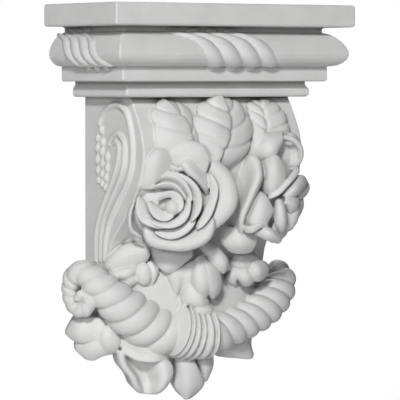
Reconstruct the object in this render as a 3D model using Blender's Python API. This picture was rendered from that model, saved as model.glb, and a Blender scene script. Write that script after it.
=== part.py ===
"""A wall corbel cast in one piece: a moulded shelf on a scrolled block, carved with roses, leaves and a rope swag.

Sizes are millimetres, and MM turns them into Blender's metres. X runs to the right as the front is faced,
-Y comes out of the wall, which is the plane y = 0, and Z runs up from the middle of the corbel's back.
"""
import math

import bmesh
import bpy
import numpy as np

MM = 0.001
INTO_WALL = (0.0, 1.0, 0.0)
LEAF_BACK = (0.42, 0.907, 0.0)

# The block: the shelf's outer size, and how far each moulding below it is set back on the front and both sides
WIDTH = 184.4
DEPTH = 85.4
TOP = 127.0
SLAB_HEIGHT = 14.4
SLAB_EDGE = 1.7
NECK_HEIGHT = 3.4
NECK_SETBACK = 15.3
NECK_COVE = 1.6
TORUS_UPPER = 13.7
TORUS_LOWER = 8.4
TORUS_SETBACK = 1.6
TORUS_SIDE_SETBACK = 3.5
TORUS_FULLNESS = 1.25
FILLET_HEIGHT = 9.5
FILLET_SETBACK = 13.0
STEP_HEIGHT = 9.9
STEP_SETBACK = 21.4
STEP_NECK = 1.8
BODY_SETBACK = 30.7
BODY_HEIGHT = 151.5
PLAN_CORNER = 1.2
CORNER_STEPS = 2
EDGE_STEPS = 2
BODY_RINGS = 18

# The size that the carving and the scrolled front are drawn at; fit() stretches them to the block's own sizes
DRAWN_SIDE = 61.5
DRAWN_DEPTH = 85.4
DRAWN_TOP = 67.7
DRAWN_HEIGHT = 151.5

# The scrolled front of the body: how far it stands off the wall, by depth below the step
BODY_DROP = (0.0, 13.0, 26.0, 33.0, 41.0, 52.0, 64.0, 76.0, 92.0, 112.0, 151.5)
BODY_STAND = (53.3, 61.5, 67.6, 69.0, 68.4, 64.6, 58.7, 47.4, 31.7, 24.6, 22.0)

# Carving
VOXEL = 1.0
BURIED = 2.5
TRIANGLES = 7200
SIDE_BEAD = 2.6
ROPE_BANDS = 18.0
WRAP_RIDGE = 14.3
WRAP_RISE = 2.6
WRAP_ROWS = 24
WRAP_COLUMNS = 65
WRAP_LEVEL = (-1.0, -0.81, -0.32, 0.25, 0.61, 0.89, 1.0)
WRAP_SLIDE = (9.8, 8.0, 3.6, -0.8, -6.1, -18.1, -24.0)
ROPE_LOBE = 0.74
ROPE_STRANDS = 2
GROOVE = 0.19

COLOUR = (0.62, 0.62, 0.61, 1.0)
ROUGHNESS = 0.62

# The carving is drawn as seen from the front left corner: the turn of that view, how far off it is and how high
VIEW_TURN = 33.525
VIEW_FROM = 1970.0
DRAWN_AT = 50.0
EYE = 80.8

HALF = WIDTH / 2
TORUS_TOP = TOP - SLAB_HEIGHT - NECK_HEIGHT
TORUS_MIDDLE = TORUS_TOP - TORUS_UPPER
FILLET_TOP = TORUS_MIDDLE - TORUS_LOWER
STEP_TOP = FILLET_TOP - FILLET_HEIGHT
BODY_TOP = STEP_TOP - STEP_HEIGHT
SIDE = HALF - BODY_SETBACK


def unit(vectors):
    vectors = np.asarray(vectors, float)
    return vectors / np.maximum(np.linalg.norm(vectors, axis=-1, keepdims=True), 1e-9)


def follow(keys, values, at):
    """Smooth curve through the values at the keys, read at other places."""
    keys = np.asarray(keys, float)
    values = np.asarray(values, float)
    slopes = np.gradient(values, keys, axis=0)
    at = np.clip(np.asarray(at, float), keys[0], keys[-1])
    i = np.clip(np.searchsorted(keys, at, side="right") - 1, 0, len(keys) - 2)
    width = keys[i + 1] - keys[i]
    t = (at - keys[i]) / width
    shape = (-1,) + (1,) * (values.ndim - 1) if at.ndim else ()
    t = np.reshape(t, shape) if at.ndim and values.ndim > 1 else t
    width = np.reshape(width, shape) if at.ndim and values.ndim > 1 else width
    return ((1 + 2 * t) * (1 - t) ** 2 * values[i] + t * (1 - t) ** 2 * width * slopes[i]
            + t * t * (3 - 2 * t) * values[i + 1] + t * t * (t - 1) * width * slopes[i + 1])


def path(knots, count):
    """Smooth path through knots, with its points evenly spaced."""
    knots = np.asarray(knots, float)
    keys = np.concatenate([[0], np.cumsum(np.linalg.norm(np.diff(knots, axis=0), axis=1))])
    fine = follow(keys, knots, np.linspace(0, keys[-1], count * 6))
    run = np.concatenate([[0], np.cumsum(np.linalg.norm(np.diff(fine, axis=0), axis=1))])
    at = np.linspace(0, run[-1], count)
    return np.stack([np.interp(at, run, fine[:, axis]) for axis in range(knots.shape[1])], axis=1)


def front(z):
    """How far the scrolled front stands off the wall at height z, at its drawn size."""
    return follow(BODY_DROP, BODY_STAND, DRAWN_TOP - np.asarray(z, float))


def fit(points):
    """Points at the drawn size, stretched to the block's own sizes."""
    x, y, z = np.moveaxis(np.asarray(points, float), -1, 0)
    return np.stack([x * SIDE / DRAWN_SIDE, y * DEPTH / DRAWN_DEPTH,
                     BODY_TOP + (z - DRAWN_TOP) * BODY_HEIGHT / DRAWN_HEIGHT], axis=-1)


# Shapes: each returns its points and faces, and is one closed skin

def skin(middle, thick, back, rear=None, sharp=5):
    """Skin round a sheet of points (rows, columns, 3): thick in front of it, back behind it, with a round rim.
    rear: the way its back lies, if not straight behind the sheet."""
    middle = np.asarray(middle, float)
    rows, cols = middle.shape[:2]
    normal = unit(np.cross(np.gradient(middle, axis=0), np.gradient(middle, axis=1)))
    down = np.abs(np.linspace(-1, 1, rows))[:, None]
    over = np.abs(np.linspace(-1, 1, cols))[None, :]
    rim = np.sqrt(np.clip(1 - np.maximum(down, over) ** sharp, 0, 1))
    ahead = middle + normal * (rim * thick)[..., None]
    behind = middle + (-normal if rear is None else np.asarray(rear, float)) * (rim * back)[..., None]
    index = np.arange(rows * cols).reshape(rows, cols)
    rear = index.copy()
    inner = (slice(1, rows - 1), slice(1, cols - 1))
    rear[inner] = rows * cols + np.arange((rows - 2) * (cols - 2)).reshape(rows - 2, cols - 2)
    points = np.concatenate([ahead.reshape(-1, 3), behind[inner].reshape(-1, 3)])
    faces = []
    for grid, order in ((index, (0, 1, 2, 3)), (rear, (3, 2, 1, 0))):
        corners = (grid[:-1, :-1], grid[1:, :-1], grid[1:, 1:], grid[:-1, 1:])
        faces.extend(np.stack([corners[k].ravel() for k in order], axis=1).tolist())
    return points, faces


def tube(line, radii, across=(0, 0, 1)):
    """Tube along a line of points; radii (points, sides)."""
    line = np.asarray(line, float)
    count, sides = radii.shape
    ahead = unit(np.gradient(line, axis=0))
    side = np.asarray(across, float)
    turn = 2 * math.pi * np.arange(sides) / sides
    rings = []
    for centre, direction, radius in zip(line, ahead, radii):
        side = unit(side - direction * (side @ direction))
        other = np.cross(direction, side)
        rings.append(centre + (np.cos(turn)[:, None] * side + np.sin(turn)[:, None] * other) * radius[:, None])
    ends = [line[0] - ahead[0] * radii[0].mean() * 0.35, line[-1] + ahead[-1] * radii[-1].mean() * 0.35]
    points = np.concatenate([np.concatenate(rings), ends])
    index = np.arange(count * sides).reshape(count, sides)
    around = np.roll(index, -1, axis=1)
    quads = np.stack([index[:-1], around[:-1], around[1:], index[1:]], axis=-1).reshape(-1, 4)
    faces = quads.tolist()
    for a, b in zip(index[0], around[0]):
        faces.append([b, a, count * sides])
    for a, b in zip(index[-1], around[-1]):
        faces.append([a, b, count * sides + 1])
    return points, faces


def ball(centre, size, rows=14, cols=18):
    """Ellipsoid with half sizes size."""
    down = np.linspace(0, math.pi, rows)[1:-1]
    turn = 2 * math.pi * np.arange(cols) / cols
    centre = np.asarray(centre, float)
    size = np.asarray(size, float)
    grid = np.stack([np.outer(np.sin(down), np.cos(turn)), np.outer(np.sin(down), np.sin(turn)),
                     np.outer(np.cos(down), np.ones(cols))], axis=-1)
    poles = [centre + (0, 0, size[2]), centre - (0, 0, size[2])]
    points = np.concatenate([(centre + grid * size).reshape(-1, 3), poles])
    index = np.arange((rows - 2) * cols).reshape(rows - 2, cols)
    around = np.roll(index, -1, axis=1)
    faces = np.stack([index[:-1], index[1:], around[1:], around[:-1]], axis=-1).reshape(-1, 4).tolist()
    top = (rows - 2) * cols
    for a, b in zip(index[0], around[0]):
        faces.append([a, b, top])
    for a, b in zip(index[-1], around[-1]):
        faces.append([b, a, top + 1])
    return points, faces


# Carved forms

def seen(points):
    """Places drawn as seen from the camera's side, (right, up, out) in mm, as (x, y, z): out is towards the viewer."""
    right, up, out = np.moveaxis(np.asarray(points, float), -1, 0)
    near = (VIEW_FROM - out) / (VIEW_FROM - DRAWN_AT)
    turn = math.radians(VIEW_TURN)
    across = right * near
    return np.stack([across * math.cos(turn) - out * math.sin(turn),
                     -across * math.sin(turn) - out * math.cos(turn), EYE + (up - EYE) * near], axis=-1)


def standing(lines, stand):
    """Lines of (x, z, lift) laid on a ground that stands out by stand(z)."""
    laid = []
    for line in lines:
        x, z, lift = np.moveaxis(np.asarray(line, float), -1, 0)
        laid.append(np.stack([x, -(stand(z) + lift), z], axis=-1))
    return laid


def blade(lines, puff=2.0, thick=0.8, back=6.0, rear=None, veins=(), slant=0.3, crease=0.0, notch=0.0, rim=6,
          fold=None, step=0.0, grid=(36, 33)):
    """Leaf or petal lofted across lines of points that each run from its root to its tip.
    puff: how full it is between its veins; crease: depth of the midrib's groove, which runs along the line at fold;
    veins: where side veins leave the midrib, and slant how far they climb; notch: how deep the edge is cut there;
    step: how far the first half stands over the second along the midrib."""
    rows, cols = grid
    tracks = np.stack([path(line, rows) for line in lines])
    t = np.linspace(0, 1, rows)[:, None]
    s = np.linspace(-1, 1, cols)[None, :]
    middle = 0.0 if fold is None else fold
    side = np.where(s < middle, (s - middle) / (1 + middle), (s - middle) / (1 - middle))
    course = t - slant * np.abs(side)
    dent = np.zeros_like(course)
    for vein in veins:
        dent = np.maximum(dent, np.exp(-((course - vein) / 0.035) ** 2))
    cushion = np.zeros_like(course)
    limits = (-slant - 0.2, *veins, 1.15)
    for low, high in zip(limits[:-1], limits[1:]):
        inside = np.clip((course - low) / (high - low), 0, 1)
        cushion = np.maximum(cushion, np.sin(math.pi * inside) ** 0.5)
    reach = middle + (s - middle) * (1 - notch * (1 - cushion) * np.abs(side) ** 2)
    flat = follow(np.linspace(-1, 1, len(lines)), tracks, reach.ravel())
    sheet = flat.reshape(rows, cols, rows, 3)[np.arange(rows), :, np.arange(rows)]
    height = puff * (0.55 + 0.45 * cushion) * (1 - np.abs(side) ** 4)
    height = height - crease * np.exp(-(side / 0.09) ** 2) * np.clip(1.3 - t, 0, 1) - 0.8 * dent * (len(veins) > 0)
    height = height + step * (1 - np.abs(side)) * (0.5 - 0.5 * np.tanh((s - middle) / 0.05))
    normal = unit(np.cross(np.gradient(sheet, axis=0), np.gradient(sheet, axis=1)))
    outward = np.array([-math.sin(math.radians(VIEW_TURN)), -math.cos(math.radians(VIEW_TURN)), 0.0])
    if (normal @ outward).sum() < 0:
        sheet, height, normal = sheet[:, ::-1], height[:, ::-1], -normal[:, ::-1]
    return skin(sheet + normal * height[..., None], thick, back, rear, rim)


def pad(centre, long, wide, size):
    """Smooth cushion: an ellipsoid with half sizes size along long, wide and the way they both face."""
    points, faces = ball((0, 0, 0), size, 12, 16)
    long = unit(long)
    face = unit(np.cross(long, wide))
    axes = np.stack([long, np.cross(face, long), face])
    return np.asarray(centre, float) + points @ axes, faces


def rose_petal(rose, rim, height, band, dip=1.6, dome=0.0, roll=0.8, tuck=1.6, thick=0.6, back=3.0):
    """Petal curled round a rose. rim: (degrees round the axis, distance from it) along the petal's edge;
    height: of its crest; band: how far in from the rim it shows; dip: how far it falls inwards; dome: how far it
    swells; roll: how far its edge falls back; tuck: how far its ends dive under their neighbours."""
    centre, right, up, out = rose
    around, reach = np.array(rim, float).T
    rows, cols = 22, max(13, int(abs(around[-1] - around[0]) / 4))
    t = np.linspace(0, 1, rows)[:, None]
    s = np.linspace(0, 1, cols)[None, :]
    order = 1 if around[-1] > around[0] else -1
    angle = around[0] + (around[-1] - around[0]) * s
    edge = follow(order * around, reach, order * angle.ravel())[None, :]
    ends = (2 * s - 1) ** 6
    radius = np.maximum(edge - band * (1 - t) * (1 - 0.75 * (2 * s - 1) ** 4) - 0.6 * ends, 0.3)
    high = height - dip * (1 - t) ** 1.5 + dome * np.sin(math.pi * t) - tuck * ends
    high = high - roll * np.clip((t - 0.75) / 0.25, 0, 1) ** 2
    turn = np.radians(angle)
    sheet = (centre + (radius * np.cos(turn))[..., None] * right + (radius * np.sin(turn))[..., None] * up
             + (high * np.ones_like(s))[..., None] * out)
    return skin(sheet if order > 0 else sheet[:, ::-1], thick, back, None, 8)


def frame_at(centre, out, up=(0, 0, 1)):
    out = unit(out)
    right = unit(np.cross(up, out))
    return np.asarray(centre, float), right, np.cross(out, right), out


def face_rose():
    """The rose that faces out at the left: bud, then rings of curled petals, each lower than the one inside it."""
    rose = frame_at((-38.5, -67.0, -0.6), (-0.50, -0.86, 0.06))
    centre, right, up, out = rose
    rings = (
        # rim (degrees, mm), height, band, dip
        (((-60, 5.8), (30, 7.0), (100, 9.4), (168, 11.4)), 13.6, 5.0, 2.2),
        (((168, 16.6), (205, 15.2), (245, 11.4), (275, 6.6)), 12.6, 8.0, 3.2),
        (((140, 17.8), (113, 15.9), (85, 13.6), (56, 10.8), (20, 9.4)), 12.2, 5.0, 4.0),
        (((130, 20.6), (100, 20.0), (76, 18.0), (45, 14.8), (10, 12.4)), 11.0, 5.4, 4.0),
        (((24, 11.6), (-12, 11.3), (-60, 13.0), (-105, 15.4), (-152, 18.8)), 11.4, 6.0, 2.6),
        (((-112, 16.4), (-132, 19.2), (-155, 23.2), (-196, 23.6)), 9.4, 8.0, 2.6),
        (((158, 24.6), (137, 25.8), (116, 23.8), (92, 21.4), (61, 20.2), (25, 19.3), (0, 18.3), (-44, 16.0)),
         10.0, 6.4, 4.0),
        (((-126, 21.2), (-100, 21.8), (-60, 19.6), (-32, 17.8)), 6.2, 7.0, 2.0),
        (((126, 25.6), (100, 25.8), (74, 23.0)), 9.4, 4.0, 3.0),
        (((126, 27.6), (105, 29.6), (90, 29.2), (68, 26.4)), 9.0, 5.0, 3.0),
        (((42, 31.8), (24, 31.2), (0, 27.0), (-24, 24.5), (-46, 22.4)), 4.6, 8.0, 3.4),
    )
    shapes = [rose_petal(rose, rim, high, band, dip) for rim, high, band, dip in rings]
    shapes.append(ball(centre + out * 9.6 - right * 0.4 - up * 1.2, (5.2, 5.2, 5.2)))
    shapes.append(pad(centre - out * 2.5, up, right, (22.0, 22.0, 10.5)))
    outer = (
        # rim (degrees, mm), height, band, dip
        (((-144, 22.6), (-124, 28.8), (-98, 28.2), (-66, 30.4), (-40, 32.0), (-16, 28.0)), 2.2, 16.0, 4.0),
        (((62, 36.0), (42, 41.5), (20, 43.4), (0, 41.5), (-16, 36.0), (-34, 29.0)), -2.4, 24.0, 5.0),
        (((214, 30.6), (190, 29.0), (160, 25.0)), 0.0, 14.0, 3.0),
    )
    for rim, high, band, dip in outer:
        shapes.append(rose_petal(rose, rim, high, band, dip=dip, dome=2.4, roll=3.4, tuck=2.0, thick=1.2, back=5.0))
    shapes.append(ball(centre - out * 14.0, (28.0, 16.0, 26.0)))
    behind = (((-59.0, 10, -2), (-60.4, 19, 0.4), (-60.0, 27, 0.8), (-56.0, 33.4, 1.0), (-50.0, 36.4, 0.6)),
              ((-53.0, 10, 3), (-53.0, 19, 4), (-52.6, 27, 4), (-51.0, 32.6, 3.4), (-48.4, 36.6, 0.6)),
              ((-42.0, 10, 0), (-41.0, 19, 0), (-41.0, 27, 0), (-42.0, 33, 0), (-45.0, 37, -0.4)))
    shapes.append(blade(standing(behind, front), 1.0, thick=0.8, back=6.0, rear=INTO_WALL))
    above = (((-0.3, 17.4, 78), (-1.4, 25.6, 82), (-1.4, 29.9, 84.6), (1.3, 33.8, 84.6), (7.5, 37.4, 82.4)),
             ((5.2, 17.4, 78), (5.2, 25.6, 82), (5.9, 31.1, 84.6), (8.2, 35.0, 84.6), (12.1, 38.7, 82)),
             ((12.1, 17.4, 78), (12.9, 24.9, 82), (13.7, 31.1, 84), (14.8, 35.7, 84), (16.8, 39.6, 82)),
             ((19.1, 17.4, 78), (20.7, 24.9, 81), (21.4, 30.3, 83), (21.4, 35.0, 83), (20.7, 38.8, 81)),
             ((26.1, 17.0, 77), (28.0, 22.5, 79), (29.2, 26.8, 80), (28.0, 32.2, 81), (23.8, 37.7, 81)))
    shapes.append(blade([seen(line) for line in above], 0.6, thick=1.0, back=7.0))
    folded = (((25.5, 8.6, 82), (20, 14.4, 85), (14.6, 19.6, 87), (11.6, 24.4, 87), (14.4, 28.6, 84)),
              ((27.4, 9, 84), (22.6, 15.4, 88), (18, 22, 90), (15.8, 26, 89), (14.6, 28.8, 84.6)),
              ((28.6, 9.4, 79), (25.6, 15, 79), (22, 20, 80), (18.6, 25, 82), (15, 28.8, 83)))
    shapes.append(blade([seen(line) for line in folded], 0.4, thick=0.6, back=4.0))
    return shapes


def side_rose():
    """The rose at the right, turned to the corner: petals round a heart, seen from the side."""
    shapes = [pad((44.0, -54.0, 0.0), (0, 0, 1), (1, 0, 0), (24.0, 18.0, 16.0)),
              pad((22.0, -56.0, 2.0), (0, 0, 1), (1, 0, 0), (22.0, 14.0, 14.0)),
              pad(seen((76.0, -3.0, 26.0)), (0, 0, 1), (1, 0, 0), (17.0, 9.0, 14.0))]
    petals = (
        # lines (right, up, out) as seen, puff
        # the great petal beside the face rose, with its right edge rolled over
        ((((40, 27, 45), (40, 10, 46), (39, -6, 46), (41, -20, 44)), ((49, 31.5, 50), (51, 14, 56), (47, -3, 56),
                                                                      (44, -19, 50)),
          ((59, 29, 52), (60, 17, 60), (55, 4, 62), (49.5, -10, 60), (49, -20, 52)),
          ((62, 25, 44), (62.6, 16, 50), (57.6, 3, 51), (51.6, -10, 51), (51, -20, 46))), 0.6),
        # the front petal and its lip
        ((((59.6, 7, 48), (55, -1, 50), (51.4, -8, 52), (52, -15, 54)), ((60, 7, 50), (60.5, -1, 57), (60, -8, 59),
                                                                         (58.5, -15, 58)),
          ((60.6, 7, 48), (66, 3, 52), (69.4, -5, 52), (65.5, -14, 54))), 1.2),
        ((((50.8, -14.4, 56), (54, -14.8, 60), (59.6, -13.4, 61), (65.5, -13.4, 55)),
          ((51.5, -19.2, 55), (56.5, -19, 58), (60.5, -16, 58), (66.2, -14.6, 54))), 0.8),
        # the upright petal behind it
        ((((66, 5, 45), (62.4, 16, 46), (63.4, 24, 47), (70.8, 29.8, 44)), ((68, 5, 47), (69.5, 14, 52),
                                                                            (70, 22, 53), (71, 29.8, 45)),
          ((70, 6, 45), (76.4, 14, 46), (76.4, 23, 46), (71.4, 29.8, 44))), 1.4),
        # bands that turn round the right of the heart
        ((((66.5, 5.5, 46), (73.5, 8.5, 46), (78.5, 15, 44), (84, 23.5, 36)), ((66, 1.5, 49), (73, 4.5, 50),
                                                                               (79, 10.5, 47), (86.4, 20, 36))),
                                                                               1.4),
        ((((71.6, 2, 46), (70.4, -6, 47), (70.6, -13, 47), (73, -18.8, 43)), ((73, 2.4, 47), (74.4, -5, 51),
                                                                              (75, -12, 50), (74.6, -19, 44)),
          ((74.4, 2, 45), (77.4, -5, 45), (78, -13, 43), (76, -18.6, 41))), 1.0),
        ((((75, 3.6, 42), (78.5, 9, 41), (84.6, 17.4, 34), (88.6, 17, 27)), ((77, 3.5, 44), (82, 8, 43),
                                                                             (87, 13, 36), (90, 15, 27)),
          ((79.4, 2.6, 42), (84, 4.5, 38), (88.5, 9, 30), (91, 13, 25))), 1.0),
        ((((76.4, 2, 44), (81, 3.2, 41), (85.6, 3.6, 35)), ((77, 1, 46), (81.5, -0.8, 43), (84.6, -3, 37)),
          ((76.6, 1, 44), (77.6, -3, 43), (79.8, -7, 39))), 0.8),
        ((((60, -14, 50), (66, -16, 52), (74, -21.6, 44)), ((59, -17, 53), (66, -19.5, 57), (74.6, -24, 46)),
          ((57.4, -20, 50), (64, -23.4, 53), (72.6, -26, 44))), 1.0),
        # outer petals that close the back
        ((((80, 8, 34), (87, 14.5, 26), (91, 14.5, 19)), ((80, 4, 36), (87, 8.5, 30), (92.4, 9, 20)), ((80, 0, 36),
                                                                                                       (85, 2, 32),
                                                                                                       (89, 3.4,
                                                                                                        22))), 0.6),
        ((((78, 0, 38), (84, 2, 30), (88.6, 3.4, 21)), ((78, -4, 38), (84, -3.4, 32), (88, -4, 22)), ((76, -10, 38),
                                                                                                      (79, -12.4,
                                                                                                       32),
                                                                                                       (82.6, -14,
                                                                                                        24))), 0.6),
        ((((70, -12, 40), (75, -16, 36), (79, -17, 28)), ((68, -16, 40), (72, -20, 36), (76, -22, 28)),
          ((64, -18, 40), (66, -23, 36), (68, -26, 28))), 0.6),
        # the low petal under the rose
        ((((36, -14, 42), (35, -24, 46), (41, -31, 43)), ((47, -16, 48), (48, -25, 51), (48, -32.4, 43)),
          ((59, -16, 42), (59, -26, 43), (56, -31.4, 39))), 1.0),
    )
    for lines, puff in petals:
        shapes.append(blade([seen(line) for line in lines], puff, thick=0.9, back=3.4))
    return shapes


def top_leaves():
    """Rose leaves that spread up the scroll under the step, and a curled one at the right corner."""
    leaves = (
        # lines (x, z, lift), veins, fold, step
        ((((-46, 26, -3), (-52, 38, 1), (-53, 46, 1), (-52, 56, 1.5), (-47, 62.5, 2), (-41, 65.5, 2)),
          ((-36, 26, -2), (-39, 36, 4), (-41, 46, 5), (-43, 56, 5), (-42, 62, 3.5), (-41, 65.5, 2)),
          ((-26, 26, -2), (-27.5, 37, 4), (-27.7, 47.7, 4.6), (-30.7, 54.3, 4.6), (-34.6, 59.5, 4), (-41, 65.5, 2)),
          ((-16, 26, -4), (-18, 37, 0), (-19, 50, 0), (-19.5, 59, 0.5), (-27, 64.6, 1), (-40.6, 65.8, 1.6))),
          (0.42, 0.68), 0.34, 2.0),
        ((((-12, 20, -3), (-20, 34, 1), (-26.6, 43.5, 1), (-24.4, 50, 1.5), (-17.3, 59, 2), (-10, 65.4, 3),
           (-0.6, 69.4, 5)),
          ((-10, 20, -1), (-11, 32, 5.5), (-12, 42, 7), (-10.5, 50, 7.5), (-6, 58.5, 7), (-3, 65, 7),
           (-0.6, 69.4, 5)),
          ((-8, 20, -1), (-7.3, 31, 5), (-1.9, 39, 6), (1.9, 47, 6.5), (4.1, 56, 6.5), (3.6, 64, 6),
           (-0.4, 69.4, 5)),
          ((-6, 18, -2), (2, 28, 4), (9.5, 35.5, 4.6), (13, 45, 5.5), (14, 55, 5.5), (11, 64, 5), (0, 69.4, 5)),
          ((-4, 16, -4), (8, 25, 0), (17.5, 32, 1), (23, 43, 1.5), (23.6, 54, 2), (18.5, 64, 3), (0.4, 69.4, 4.6))),
          (0.3, 0.52, 0.72), 0.0, 2.2),
        ((((20, 28, -4), (21, 38, 0), (22.4, 48, 1), (23.5, 56, 1.5), (23.5, 62, 2), (30, 66, 2)),
          ((26, 28, -2), (27, 38, 3.5), (29.5, 47, 4.5), (30.5, 55, 4.6), (31.5, 61, 4), (34, 66, 2)),
          ((30, 28, -2), (32, 38, 3), (34.5, 47, 4), (35.5, 55, 4.4), (36, 61, 4), (37, 66, 2)),
          ((36, 28, -2), (40, 38, 3), (44, 46, 4.6), (45, 54, 5), (44, 60, 4), (40, 66, 2)),
          ((42, 28, -4), (47, 39, 0), (52.5, 47, 1), (52.5, 54, 1), (50, 61, 1.5), (42, 66, 2))), (0.42, 0.62, 0.8),
          -0.1, -1.6),
    )
    shapes = []
    for lines, veins, fold, step in leaves:
        shapes.append(blade(standing(lines, front),
                            1.3, thick=0.8, back=7.0, rear=INTO_WALL, veins=veins, slant=0.16,
                            crease=1.4, notch=0.13, fold=fold, step=step))
    tongue = (((57, 36, 44), (65.7, 41, 44), (75.5, 43, 40)), ((59, 31, 49), (67.5, 36, 50), (75.6, 41.5, 44)),
              ((61, 25, 46), (69.5, 30, 47), (75, 39, 42)))
    hollow = (((74, 41.6, 38), (71, 34, 40), (69, 25, 40)), ((78, 40, 31), (78, 32, 30), (77, 24, 30)),
              ((82, 40.4, 36), (86.4, 34, 31), (84, 23, 28)))
    shapes.append(blade([seen(line) for line in tongue], 1.0, back=5.0))
    shapes.append(blade([seen(line) for line in hollow], 0.0, back=7.0))
    lip = path(seen(((74, 42, 40), (78.5, 41.6, 38), (83, 39.8, 36), (86.2, 36, 33), (87.2, 30.6, 30),
                     (85.2, 25, 27), (81, 21, 26))), 40)
    size = 2.0 * np.sin(math.pi * np.linspace(0.1, 0.94, 40)) ** 0.4
    shapes.append(tube(lip, np.repeat(size[:, None], 12, axis=1)))
    return shapes


def lower_stand(z):
    """The mound that the lower leaves lie on: out from the body at the roses, and out again over the rope."""
    return follow((-90.0, -72.0, -58.0, -40.0, -20.0, 0.0), (44.0, 49.0, 47.0, 44.0, 47.0, 56.0), z)


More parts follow.
